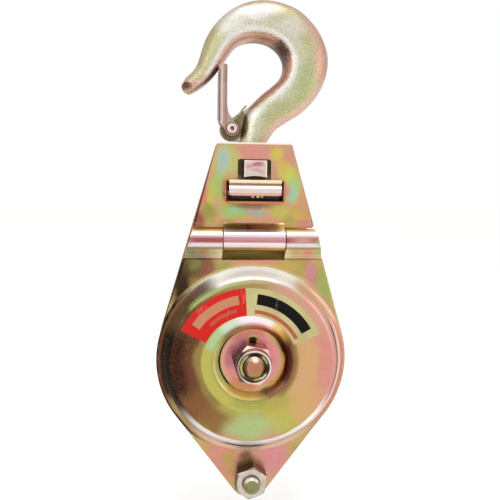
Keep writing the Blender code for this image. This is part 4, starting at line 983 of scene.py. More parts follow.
def chromate(
    name, blotches, size=16 * MM, seed=0.0, fields=(), rings=(), crisp=(), marks=(), lines=(),
    turns=(), before=None, after=None, grain=0.03, rough=(0.26, 0.40), scuffs=0.10, mottle=0.05,
    centre=(0.0, -149.0),
):
    """Worn yellow chromate: blotches of tone with fields, pieces of rings and marks laid on it,
    which also paint highlights, reflections and shade.

    fields and marks are (x, z, wide, high, tone, share) in mm, marks with exact edges; rings and
    crisp ones are (radius, half, way, half way, tone, share) about the centre; lines are (start,
    end, half, tone, share); turns are (facing, start, end, tone, share) and paint light and shade
    by the way a surface faces.
    """
    paint = Paint(name, 1.0, 0.3)
    cloud = paint.noise(size, 4.0, seed, distortion=0.6)
    step = 0.40 / (len(blotches) - 1)
    paint.colour = paint.ramp(cloud, [(0.30 + step * k, rgb) for k, rgb in enumerate(blotches)])
    if before:
        before(paint)
    if fields or rings:
        wandering = paint.warp(11 * MM, 6 * MM, seed)
        polar = paint.about(wandering, *centre)
    paint.lay_rows(rings, lambda *shape: paint.ring(polar, *shape))
    paint.lay_rows(fields, lambda *shape: paint.spot(wandering, *shape))
    if crisp:
        exact = paint.about(paint.warp(6 * MM, 0.7 * MM, seed), *centre)
    paint.lay_rows(crisp, lambda *shape: paint.ring(exact, *shape, 0.55))
    paint.lay_rows(turns, paint.facing)
    paint.lay_rows(marks, lambda *shape: paint.spot(paint.place, *shape, 0.7))
    paint.lay_rows(lines, paint.line)
    if after:
        after(paint)
    streaks = paint.noise(1.6 * MM, 5.0, seed + 3, stretch=(1.0, 1.0, 0.55))
    paint.lay((226, 214, 190), paint.ease(streaks, 0.58, 0.80), scuffs)
    pits = paint.noise(1.0 * MM, 3.0, seed + 5)
    paint.lay((96, 66, 40), paint.ease(pits, 0.64, 0.80), 0.3)
    fine = paint.noise(0.6 * MM, 2.0, seed + 8)
    paint.lay((110, 92, 60), paint.ease(fine, 0.50, 0.68), mottle)
    paint.lay((240, 232, 214), paint.ease(fine, 0.50, 0.32), mottle * 0.7)
    paint.bump(fine, 0.3, grain * MM)
    worn = paint.noise(5 * MM, 4.0, seed + 9)
    return paint.finish(range_of(paint, worn, *rough))


def knuckle_highlight_bands(paint, bands):
    """Painted highlight bands, and rosy bands of painted reflection, that run along a rolled
    knuckle by how far it faces up.
    """
    up = paint.dot(paint.normal, (0.0, 0.0, 1.0))
    t = paint.math("MULTIPLY_ADD", up, 0.5, 0.5)
    tones = paint.ramp(t, [(0.5 + 0.5 * z, rgb) for z, rgb in bands])
    mask = paint.times(paint.beyond(UP, -96.2), paint.beyond(DOWN, 86.9))
    paint.lay(tones, paint.times(mask, paint.beyond(FRONT, 12.6)), 0.96)


LABEL_X = -1.6 * MM     # the film's centre from the axle
LABEL_Z = -0.5 * MM


def build_label():
    """A thin printed film that follows the dome above the dish, stuck on a little off centre."""
    inner_r, outer_r, start, end = 22.6 * MM, 35.6 * MM, -63.5, 67.0
    across, along = 14, 72
    lift = 0.12 * MM
    film = 0.06 * MM
    bm = bmesh.new()
    sides = []
    for top in (lift + film, lift):
        grid = []
        for i in range(across + 1):
            r = inner_r + (outer_r - inner_r) * i / across
            row = []
            for k in range(along + 1):
                a = math.radians(start + (end - start) * k / along)
                x, z = LABEL_X + r * math.sin(a), LABEL_Z + r * math.cos(a)
                y = CHEEK_OUTER_Y + pressed_height(math.hypot(x, z)) + top
                row.append(bm.verts.new((x, -y, AXLE_Z + z)))
            grid.append(row)
        sides.append(grid)
    front, back = sides
    for i in range(across):
        for k in range(along):
            for grid in sides:
                bm.faces.new((grid[i][k], grid[i][k + 1], grid[i + 1][k + 1], grid[i + 1][k]))
    for i in range(across):
        for k in (0, along):
            bm.faces.new((front[i][k], front[i + 1][k], back[i + 1][k], back[i][k]))
    for k in range(along):
        for i in (0, across):
            bm.faces.new((front[i][k], front[i][k + 1], back[i][k + 1], back[i][k]))
    label = mesh_object("cheek_label", bm)
    smooth(label.data, FORGED_ANGLE)
    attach(label, "block")
    return label


def label_film():
    """Red on the left and khaki on the right, with plain bars where print would be."""
    paint = Paint("label_film", 0.0, 0.38)
    from_axle = paint.vector("SUBTRACT", paint.place, (LABEL_X, 0.0, AXLE_Z + LABEL_Z))
    split = paint.node("SeparateXYZ", {0: from_axle}).outputs
    angle = paint.times(paint.math("ARCTAN2", split["X"], split["Z"]), 180 / math.pi)
    flat = paint.vector("MULTIPLY", from_axle, (1.0, 0.0, 1.0))
    radius = paint.times(paint.vector("LENGTH", flat), 1 / MM)

    def band(value, low, high, soft):
        rising = paint.ease(value, low - soft, low + soft)
        return paint.times(rising, paint.ease(value, high + soft, high - soft))

    def block(a0, a1, r0, r1):
        return paint.times(band(angle, a0, a1, 0.3), band(radius, r0, r1, 0.12))

    paint.set("Specular IOR Level", 0.12)
    cloud = paint.noise(9 * MM, 3.0, 2.0)
    paint.colour = paint.ramp(cloud, [(0.3, (226, 214, 156)), (0.7, (206, 194, 136))])
    paint.lay_rows((
        (-70.0, -3.6, 20.0, 40.0, (228, 44, 38), 1.0),
        (-55.0, -10.0, 28.4, 32.6, (214, 158, 118), 0.85),
        (-45.0, -14.0, 25.0, 26.6, (210, 110, 84), 0.7),
        (6.0, 60.0, 28.0, 33.0, (12, 9, 7), 1.0),
        (5.0, 62.0, 23.8, 25.6, (196, 72, 50), 0.85),
    ), block)
    scuffs = paint.noise(2.6 * MM, 4.0, 6.0, stretch=(1.0, 1.0, 0.5))
    paint.lay((214, 202, 170), paint.ease(scuffs, 0.60, 0.80), 0.35)
    rub = paint.noise(1.0 * MM, 3.0, 1.0)
    paint.bump(rub, 0.15, 0.02 * MM)
    return paint.finish(range_of(paint, scuffs, 0.30, 0.52))


# Tables of plating tones, painted highlights, painted reflections and painted shade, in rows as
# chromate takes them; a ROLL is (how far up the surface faces, tone)
# Rings of plating tone round the axle; the dark brown ones on the dome's left side are painted
# dark reflection
CHEEK_TONE_AND_REFLECTION_RINGS = [
    (30, 15, 180, 85, (166, 158, 82), 0.95), (31, 10, 140, 34, (184, 170, 82), 0.85),
    (30, 15, 92, 52, (204, 158, 114), 0.95), (35, 6, 82, 56, ROSE, 0.75),
    (33, 8, 128, 22, (202, 160, 110), 0.7), (31, 16, 266, 56, (102, 60, 40), 0.97),
    (37, 8, 272, 58, (56, 28, 20), 0.94), (33, 9, 222, 28, (130, 88, 54), 0.85),
    (34, 9, 318, 30, (104, 78, 50), 0.85), (36, 5, 350, 26, (166, 140, 90), 0.8),
    (35, 6, 40, 34, (208, 156, 136), 0.85), (25, 4, 265, 50, (150, 132, 74), 0.8),
]
# Fields of plating tone on the cheek; the near-black and dark brown ones on the left flank are
# painted shade, and the dark one just above the tail nut is its painted shadow
CHEEK_TONE_AND_SHADE_FIELDS = [
    (-1, -181, 18, 11, (166, 190, 134), 0.75), (12, -178, 10, 8, (176, 178, 96), 0.6),
    (21, -114, 6, 5, (190, 198, 118), 0.7), (-26, -105, 13, 11, (104, 84, 50), 0.95),
    (-33, -116, 7, 20, (44, 28, 22), 0.97), (-21.5, -107, 4.5, 8, (148, 80, 78), 0.75),
    (-27, -103.5, 4, 3.5, (132, 134, 80), 0.6), (-12, -102, 8, 4, (176, 156, 84), 0.8),
    (0, -103.2, 19, 4.2, (216, 146, 132), 0.95), (-13.5, -105, 5.5, 4, (148, 156, 86), 0.85),
    (14, -105, 6, 3.5, (206, 158, 96), 0.8), (16, -105, 8, 4, (190, 164, 88), 0.8),
    (27, -110, 5, 12, (204, 132, 138), 0.85), (34, -118, 4.5, 20, (152, 168, 92), 0.85),
    (-12, -196, 14, 18, (204, 136, 120), 0.95), (10, -196, 12, 18, (206, 134, 138), 0.95),
    (-9.5, -198.5, 4.5, 8, (172, 152, 84), 0.8), (-2, -196.6, 4.5, 3.2, (118, 70, 56), 0.8),
]
# Crisp rings about the axle: the near-white and bright yellow ones at the dome's top and bottom
# and round the dish lip are painted highlights; the black and dark brown ones on the dome's left
# and the dark crescent on the dish's right wall are painted shade and reflection; the thin black
# arc at the dish floor's left edge is a painted shadow; the rest are plating tones
CHEEK_CRISP_TONES_HIGHLIGHTS_SHADE = [
    (44, 2.6, 92, 62, (176, 152, 122), 0.95), (43.2, 1, 90, 58, (200, 122, 106), 0.95),
    (41.7, 0.9, 92, 60, (226, 194, 180), 0.95), (40.5, 0.5, 88, 56, (112, 74, 66), 0.85),
    (39, 1.3, 84, 50, (204, 142, 144), 0.85), (43.6, 2.4, 270, 66, (88, 46, 30), 0.95),
    (40.6, 2.9, 268, 62, BLACK, 0.95), (45, 0.9, 268, 70, BLACK, 0.95),
    (42.6, 1.6, 224, 26, (168, 140, 84), 0.9), (40.2, 1.5, 224, 20, (92, 62, 40), 0.8),
    (43, 2.2, 180, 46, (232, 196, 170), 0.95), (39.7, 1.8, 174, 66, (255, 250, 246), 0.97),
    (41.7, 0.7, 184, 17, (36, 26, 20), 0.97), (41.6, 3.9, 356, 44, (255, 252, 248), 0.98),
    (38, 1.2, 344, 30, (176, 196, 132), 0.7), (38.2, 1, 18, 30, (206, 160, 138), 0.7),
    (45.2, 0.7, 0, 56, (206, 172, 104), 0.8), (41.2, 3.8, 312, 26, (92, 68, 42), 0.95),
    (38.8, 1.4, 322, 14, (140, 150, 90), 0.7), (41.6, 3, 46, 22, (206, 162, 130), 0.85),
    (21.4, 3.4, 236, 84, (182, 176, 88), 0.95), (20.6, 3.4, 304, 22, (172, 194, 138), 0.95),
    (20.4, 3, 340, 30, (206, 216, 190), 0.95), (20, 3.4, 10, 36, (244, 230, 234), 0.95),
    (19.6, 2.4, 44, 20, (224, 184, 92), 0.9), (20.2, 2.2, 58, 20, (178, 132, 74), 0.8),
    (17.6, 4, 96, 52, (70, 34, 30), 0.97), (17, 3, 142, 24, (128, 80, 52), 0.9),
    (20.4, 1.8, 104, 50, (150, 112, 70), 0.7), (20.2, 3.2, 182, 32, (162, 162, 78), 0.9),
    (16.9, 2, 250, 74, (255, 250, 150), 0.95), (17, 1.8, 196, 34, (255, 206, 110), 0.95),
    (16.3, 1, 348, 40, (255, 196, 140), 0.9), (15.5, 0.5, 266, 66, (24, 16, 14), 0.97),
    (15.2, 0.7, 112, 44, (226, 176, 86), 0.85), (15.3, 0.7, 196, 36, (236, 190, 84), 0.85),
    (7.5, 7.4, 0, 180, (210, 132, 136), 0.95), (13.9, 1, 262, 70, (206, 150, 130), 0.8),
    (13, 2.2, 200, 34, (186, 124, 80), 0.85), (13.6, 1.6, 350, 40, (196, 112, 104), 0.7),
    (11, 2.2, 282, 36, (176, 104, 112), 0.7),
]
# A painted dark spot that widens the shade in the key notch above the axle, with an olive halo
# round it
CHEEK_NOTCH_SHADE_MARKS = [
    (0.2, -138.6, 3.3, 2.6, (176, 156, 98), 0.9), (0.3, -138.9, 2.3, 1.4, (16, 11, 9), 0.97),
]
# Painted shade along the cheek's left edge, and a fainter painted shade line along its right edge
CHEEK_EDGE_SHADE_LINES = [
    ((-32.9, -102.6), (-42.1, -129.9), 1.3, BLACK, 0.9),
    ((33.2, -102.6), (42.1, -129.9), 0.5, (120, 104, 70), 0.6),
]
# Painted shade where the cheek faces left or down-left, painted light where it faces right or
# down-right
CHEEK_FACING_LIGHT_AND_SHADE = [
    (LEFT, 0.90, 0.97, BLACK, 0.95), (RIGHT, 0.90, 0.97, (172, 152, 124), 0.9),
    ((0.9, 0, -1), 0.93, 0.99, (176, 150, 104), 0.9),
    ((-0.9, 0, -1), 0.93, 0.99, (52, 34, 24), 0.9),
]
CHEEK_BRIGHT = [    # pieces of rings that shine less like metal
    (17.2, 2.6, 250, 150, 0.6), (41.8, 3.2, 356, 44, 0.6), (41.5, 3.9, 180, 50, 0.7),
]
CHEEK_WEB_BLOTS = [
    (-29, -97.4, 5, 3, (170, 214, 164), 0.9), (-23.4, -97.2, 4.4, 2.2, (236, 176, 108), 0.9),
    (-18, -98, 4.4, 2.6, (206, 202, 126), 0.85), (19.5, -97.4, 5, 2.6, (204, 204, 128), 0.85),
    (25.2, -97.6, 4.4, 2.6, (232, 164, 146), 0.9), (30.6, -97.4, 4.4, 3, (168, 208, 136), 0.9),
]
# Painted highlight bands on the knuckle's upper and lower faces, with rosy and dark bands of
# painted reflection between them
CHEEK_ROLL_HIGHLIGHTS = [
    (-0.74, (206, 190, 140)), (-0.66, (170, 140, 120)), (-0.56, (216, 208, 212)),
    (-0.34, (224, 216, 220)), (-0.22, (206, 160, 162)), (-0.12, (150, 74, 82)),
    (0.16, (168, 88, 94)), (0.30, (206, 150, 152)), (0.40, (216, 206, 210)),
    (0.66, (228, 220, 222)), (0.80, (240, 206, 148)), (1.0, (228, 190, 126)),
]
CHEEK_ROLL_BLOTS = [
    (22, -91.6, 9, 2.6, (214, 166, 158), 0.8), (30.5, -92.6, 4.5, 3, (168, 190, 124), 0.85),
    (-30, -92, 3.5, 3, (196, 150, 140), 0.5),
]


def front_cheek_finish():
    """The dome's tones run round the axle: painted dark reflection on the left, rose right,
    yellow-green below, with painted highlights at its top and bottom.
    """
    def after(paint):
        slope = paint.times(paint.beyond(DOWN, 95.8), paint.beyond(FRONT, 12.3, 0.2))
        web = paint.times(slope, paint.beyond(UP, -100.7, 0.2))
        paint.lay((240, 224, 190), web, 0.9)
        paint.lay_rows(
            CHEEK_WEB_BLOTS, lambda *shape: paint.times(paint.spot(paint.place, *shape, 0.0), web)
        )
        # two painted highlight lines along the bends under the knuckles
        for z, rgb in ((-98.8, (246, 236, 214)), (-100.1, (250, 240, 222))):
            paint.lay(rgb, paint.times(paint.line((-9, z), (9, z), 0.3), web), 0.8)
        knuckle_highlight_bands(paint, CHEEK_ROLL_HIGHLIGHTS)
        for *shape, rgb, share in CHEEK_ROLL_BLOTS:
            blot = paint.times(paint.spot(paint.place, *shape, 0.0), share)
            paint.lay(rgb, paint.times(blot, paint.beyond(FRONT, 15.0)))
        exact = paint.about(paint.place, 0.0, -149.0)
        most, *others = [paint.ring(exact, *shape) for shape in CHEEK_BRIGHT]
        for mask in others:
            most = paint.math("MAXIMUM", most, mask)
        paint.set("Metallic", range_of(paint, most, 1.0, 0.3))

    return chromate(
        "pressed_chromate_front",
        [(150, 134, 76), (178, 158, 90), (196, 156, 110), (172, 166, 96)],
        15 * MM, 4.0, CHEEK_TONE_AND_SHADE_FIELDS, CHEEK_TONE_AND_REFLECTION_RINGS, CHEEK_CRISP_TONES_HIGHLIGHTS_SHADE, CHEEK_NOTCH_SHADE_MARKS, CHEEK_EDGE_SHADE_LINES,
        CHEEK_FACING_LIGHT_AND_SHADE, after=after,
    )


# Drifting plating tones on the gate; the grey-brown field just under the latch's sill is a painted
# shadow
GATE_TONE_AND_SHADOW_FIELDS = [
    (1, -53, 14, 9, (214, 146, 136), 0.95), (-9, -56, 3.6, 9, (196, 186, 108), 0.85),
    (-14.5, -57, 7, 14, (184, 200, 116), 0.95), (-15, -56.5, 3.8, 10, (170, 190, 180), 0.95),
    (-20, -58, 3.4, 10, (210, 166, 118), 0.8), (11, -52.5, 4.4, 5, (208, 190, 88), 0.95),
    (10.6, -60.5, 3.2, 6, (206, 148, 128), 0.9), (17, -55, 3.2, 8, (208, 146, 128), 0.85),
    (15.5, -62, 6.5, 8, (202, 198, 92), 0.95), (14, -57.5, 3, 5, (214, 176, 96), 0.8),
    (18.5, -69, 7, 9, (168, 200, 128), 0.95), (18.2, -71, 3.6, 4.5, (160, 196, 172), 0.9),
    (15.4, -69.6, 2.6, 3.2, (214, 146, 140), 0.9), (23.2, -74, 3.2, 12, (208, 154, 116), 0.85),
    (-12.5, -71, 4, 10, (196, 188, 92), 0.85), (-16.8, -68, 5, 9, (164, 192, 112), 0.95),
    (-19.4, -72, 3.4, 8, (196, 186, 90), 0.8), (-12.6, -65.5, 2.4, 7, (216, 152, 108), 0.85),
    (-23.6, -72, 3.6, 10, (206, 134, 104), 0.95), (-20.5, -79.5, 6, 5, (150, 148, 74), 0.9),
    (-25.8, -84, 5, 6, (150, 84, 74), 0.95), (-9, -79, 10, 5.5, (160, 188, 100), 0.95),
    (-8, -78.6, 6, 2.6, (152, 192, 150), 0.9), (2, -79.5, 8, 2.6, (164, 170, 156), 0.85),
    (12, -79.5, 7, 5, (188, 186, 88), 0.9), (20, -80, 5, 4, (208, 170, 96), 0.8),
    (23.5, -84, 6, 4, (200, 128, 122), 0.9), (4, -84.6, 12, 3, (204, 148, 112), 0.85),
    (-0.5, -76.4, 13, 2.6, (120, 98, 76), 0.75), (-12, -84.8, 7, 3, (176, 138, 78), 0.8),
]
GATE_MARKS = [
    (-14.2, -69, 1, 6.4, (206, 128, 102), 0.6), (14, -69, 1, 6.4, (206, 128, 102), 0.6),
]
# Painted shade down the gate's left edge, a fainter painted shade down its right edge, and a
# painted highlight along its top edge
GATE_EDGE_LIGHT_AND_SHADE_LINES = [
    ((-18.5, -50), (-28.2, -88), 0.75, (66, 34, 30), 0.85),
    ((18.6, -50), (28.8, -88), 0.45, (150, 78, 74), 0.7),
    ((-10, -47.5), (10, -47.5), 0.75, (244, 234, 228), 0.95),
]
# Painted light where the gate faces right and painted shade where it faces left
GATE_FACING_LIGHT_AND_SHADE = [(RIGHT, 0.5, 0.9, (196, 140, 124), 0.9), (LEFT, 0.35, 0.75, UMBER, 0.95)]
GATE_SLOPE = [
    (0.0, (160, 140, 84)), (0.35, (140, 112, 66)), (0.6, (200, 146, 104)), (1.0, (206, 184, 120)),
]
# Painted highlight bands on the gate's knuckle, with rosy and dark bands of painted reflection
# between them
GATE_ROLL_HIGHLIGHTS = [
    (-1.0, (204, 190, 96)), (-0.84, (196, 176, 84)), (-0.76, (120, 84, 40)),
    (-0.68, (238, 186, 104)), (-0.56, (228, 214, 214)), (-0.30, (232, 222, 226)),
    (-0.16, (206, 160, 152)), (-0.04, (186, 116, 124)), (0.10, (206, 132, 148)),
    (0.26, (214, 160, 164)), (0.40, (222, 212, 216)), (1.0, (232, 224, 224)),
]


def gate_finish():
    """Drifting fields on the flat sheet, a dull slope, painted highlights on the knuckle and
    painted shade in the slot.
    """
    def after(paint):
        slope = paint.times(paint.beyond(DOWN, 84.0), paint.beyond(FRONT, 12.0))
        strokes = paint.noise(1.3 * MM, 3.0, 4.0, stretch=(1.0, 0.2, 0.2))
        across = paint.ease(paint.dot(paint.place, RIGHT), -12 * MM, 12 * MM)
        paint.lay(paint.ramp(across, GATE_SLOPE), slope, 0.96)
        dark = paint.times(slope, paint.ease(strokes, 0.44, 0.62))
        near = paint.spot(paint.place, -4.5, -85.6, 7.0, 3.0, 0.3)
        paint.lay((92, 62, 40), paint.times(dark, near), 0.75)
        knuckle_highlight_bands(paint, GATE_ROLL_HIGHLIGHTS)
        # painted shade on the gate's front behind the latch bar
        inside = paint.spot(paint.place, 0, -69.5, 12.7, 400, 0.97)
        low = paint.times(inside, paint.beyond(UP, -74.9))
        slot = paint.times(low, paint.beyond(DOWN, 65.0))
        paint.lay((24, 17, 14), paint.times(slot, paint.facing(FRONT, 0.5, 0.9)), 0.97)
        # painted highlight along the top edge of the slope
        paint.lay((236, 222, 196), paint.times(slope, paint.beyond(UP, -84.9, 0.2)), 0.8)

    return chromate(
        "gate_chromate", [(176, 156, 86), (204, 160, 108), (208, 150, 128), (182, 184, 104)],
        11 * MM, 7.0, GATE_TONE_AND_SHADOW_FIELDS, marks=GATE_MARKS, lines=GATE_EDGE_LIGHT_AND_SHADE_LINES, after=after,
        turns=GATE_FACING_LIGHT_AND_SHADE,
    )


# Plating tones on the hook; the near-white fields about the top of the bowl are painted highlights
HOOK_TONE_AND_HIGHLIGHT_FIELDS = [
    (25, -18, 11, 15, (168, 176, 122), 0.65), (12, -32, 14, 8, (170, 174, 122), 0.55),
    (32, -9, 7.5, 24, (196, 150, 136), 0.85), (27, 7, 8, 9, (202, 160, 148), 0.75),
    (-22, -2, 7, 10, (172, 166, 122), 0.6), (-17, 8, 6, 6, (170, 164, 124), 0.5),
    (0, 12, 16, 6, (234, 230, 232), 0.9), (17, 6, 9, 7, (218, 210, 204), 0.75),
    (-11, 6, 9, 8, (222, 220, 214), 0.8), (-29, -21, 5, 4, (196, 154, 138), 0.8),
    (-22.5, -19, 5, 4, (198, 164, 148), 0.7),
]
HOOK_MARKS = [
    (-10.6, -41.2, 6, 6.2, (108, 92, 52), 0.94), (-5.6, -38.5, 3.6, 7.5, (112, 94, 52), 0.85),
    (-31.4, -21.3, 2.9, 2.3, (120, 66, 58), 0.85), (-31.6, -21, 1.7, 1.4, (60, 34, 30), 0.85),
]
# Painted shade where the hook faces down and left, and painted light where it faces down, right
# and to the front
HOOK_FACING_LIGHT_AND_SHADE = [
    (DOWN, 0.85, 0.98, (150, 110, 84), 0.6), ((-1, 0, -0.3), 0.80, 0.97, (62, 44, 30), 0.7),
    ((0.55, -0.4, -0.72), 0.72, 0.92, (222, 184, 168), 0.85),
]
# The near-white stops are the painted highlight along the front face's inner edge; the darker ends
# are the bowl and the outer rim
HOOK_ACROSS_TONE_AND_HIGHLIGHT = [
    (0.00, (168, 126, 104)), (0.16, (190, 142, 124)), (0.24, (176, 140, 114)),
    (0.31, (216, 206, 196)), (0.42, (226, 222, 216)), (0.50, (200, 198, 172)),
    (0.60, (180, 178, 132)), (0.74, (184, 176, 134)), (0.86, (188, 166, 136)),
    (0.94, (178, 146, 122)), (1.00, (140, 108, 88)),
]


def hook_finish():
    """Tones by how far the forging faces its own bowl: a painted highlight along the inside edge,
    rosy outer rim.
    """
    def by_bowl(paint):
        way = paint.about(paint.place, -1.0, -14.0)[1]
        outward = paint.dot(paint.normal, way)
        speckle = paint.noise(0.9 * MM, 2.0, 2.0)
        shaken = paint.math("MULTIPLY_ADD", speckle, 0.34, paint.math("SUBTRACT", outward, 0.17))
        t = paint.math("MULTIPLY_ADD", shaken, 0.5, 0.5, clamp=True)
        paint.colour = paint.ramp(t, HOOK_ACROSS_TONE_AND_HIGHLIGHT)
        inner = paint.ease(outward, -0.25, -0.55)
        rear = paint.facing(BACK, -0.02, 0.06)
        paint.lay((146, 132, 74), paint.times(rear, inner), 0.92)
        ridge = paint.times(paint.facing(BACK, -0.16, -0.04), paint.facing(FRONT, -0.12, 0.0))
        paint.lay((96, 66, 46), paint.times(ridge, inner), 0.8)
        shade = paint.spot(paint.warp(4 * MM, 4 * MM, 5.0), 13, -3, 7, 9)
        paint.lay((58, 36, 32), paint.times(shade, inner), 0.92)

    return chromate(
        "forged_chromate", [(170, 162, 116), (184, 178, 136), (194, 186, 152), (190, 170, 142)],
        14 * MM, 1.0, HOOK_TONE_AND_HIGHLIGHT_FIELDS, marks=HOOK_MARKS, turns=HOOK_FACING_LIGHT_AND_SHADE, before=by_bowl,
        grain=0.09, rough=(0.36, 0.52), mottle=0.3,
    )


def rear_finish():
    """Broad blotches, with a yellow field of painted light where the inside shows under the gate's
    knuckle, and painted light and shade by facing.
    """
    def after(paint):
        # painted light on the inside face, which lies in shade under the gate's knuckle
        top = paint.spot(paint.place, 0, -103.0, 22, 4.0, 0.7)
        paint.lay((222, 212, 116), paint.times(top, paint.facing(FRONT, 0.5, 0.9)), 0.9)

    return chromate(
        "pressed_chromate_rear",
        [(164, 178, 116), (176, 166, 92), (198, 168, 104), (206, 152, 126), (186, 176, 96)],
        24 * MM, 11.0, after=after,
        # painted shade on left-facing faces, and painted light on right, top and bottom faces
        turns=[
            (LEFT, 0.90, 0.97, UMBER, 0.8), (RIGHT, 0.2, 0.8, (204, 150, 124), 0.5),
            (UP, 0.2, 0.75, WHITE, 0.7), (LEFT, 0.2, 0.8, (116, 78, 52), 0.6),
            (DOWN, 0.2, 0.8, (172, 164, 92), 0.6),
        ],
    )


def tongue_finish():
    """The head block: a pale tongue in the gate's window, and painted shade behind it."""
    def after(paint):
        # painted shade on the block's faces behind the gate, darkest in the window's slits
        recess_shade = paint.times(paint.beyond(BACK, -12.0), paint.facing(FRONT, 0.5, 0.9))
        paint.lay((112, 98, 58), recess_shade, 0.9)
        window = paint.spot(paint.place, 0, -58.5, 9.5, 7.0, 0.8)
        paint.lay((70, 56, 34), paint.times(recess_shade, window), 0.9)

    return chromate(
        "forged_chromate_block", [(208, 184, 172), (216, 198, 192), (200, 170, 160)], 6 * MM, 37.0,
        fields=[
            (1.5, -57.6, 4.2, 1.8, (186, 108, 116), 0.9),
            (-2.4, -58.8, 2.6, 2, (206, 140, 132), 0.8),
            (1.5, -60.6, 3.6, 1.2, (196, 134, 134), 0.6),
        ],
        # painted shade on the tongue's sides and underside, and a painted highlight on its top
        turns=[
            (LEFT, 0.35, 0.8, (44, 30, 20), 0.95), (RIGHT, 0.35, 0.8, (72, 60, 34), 0.95),
            (DOWN, 0.3, 0.8, (60, 40, 30), 0.9), (UP, 0.3, 0.8, (226, 216, 208), 0.8),
        ],
        after=after,
    )


def bar_finish():
    """The bar of the gate's latch, with painted shade on its lower part where the slot shows and
    three painted glints standing for its spring's coils.
    """
    def after(paint):
        # painted shade on the bar's lower front, where the slot under it shows dark
        low = paint.times(paint.beyond(DOWN, 71.5, 0.15), paint.facing(FRONT, 0.2, 0.4))
        paint.lay((26, 17, 13), low, 0.97)
        # three painted glints standing for the spring's coils
        for x, rgb in ((-1.2, (206, 172, 104)), (1.1, (224, 196, 120)), (3.0, (168, 156, 88))):
            paint.lay(rgb, paint.spot(paint.place, x, -72.0, 0.85, 0.6, 0.5), 0.95)

    return chromate(
        "latch_bar_chromate", [(222, 200, 196), (226, 208, 204), (218, 190, 180)], 6 * MM, 14.0,
        # painted shade at the bar's lower corners
        marks=[
            (-12.1, -71.3, 1.5, 1.3, (30, 20, 16), 0.95),
            (11.8, -71.3, 1.3, 1.3, (60, 38, 28), 0.9),
        ],
        # painted highlights along the top flange and the front, a dark line of painted reflection
        # between them, and painted shade along the lower front
        lines=[
            ((-9, -65), (9, -65), 0.9, (232, 212, 176), 0.95),
            ((-9, -66.5), (9, -66.5), 0.65, (150, 112, 70), 0.9),
            ((-9, -67.9), (9, -67.9), 0.6, (240, 230, 226), 0.9),
            ((-9, -70.9), (9, -70.9), 0.8, (212, 158, 140), 0.9),
        ],
        # painted shade on the bar's ends and underside
        turns=[
            (LEFT, 0.4, 0.9, UMBER, 0.92), (RIGHT, 0.4, 0.9, UMBER, 0.9),
            (DOWN, 0.45, 0.8, (40, 26, 20), 0.9),
        ],
        after=after, scuffs=0.05,
    )


def bracket_tone_and_shade():
    """Painted shade all over the inside, with rosy sides and sill."""
    def after(paint):
        for way, level in ((LEFT, 13.3), (RIGHT, 13.0)):
            paint.lay((206, 128, 100), paint.beyond(way, level, 0.15), 0.95)
        sill = paint.times(paint.beyond(DOWN, 74.1, 0.15), paint.facing(FRONT, 0.4, 0.7))
        paint.lay((204, 128, 94), sill, 0.95)

    # near-black blotches: painted shade over the whole bracket
    return chromate(
        "bracket_chromate_painted_shade", [(44, 28, 20), (60, 40, 28), (50, 34, 24)], 6 * MM, 15.0,
        turns=[(DOWN, 0.4, 0.8, (176, 100, 80), 0.8)], after=after,
    )


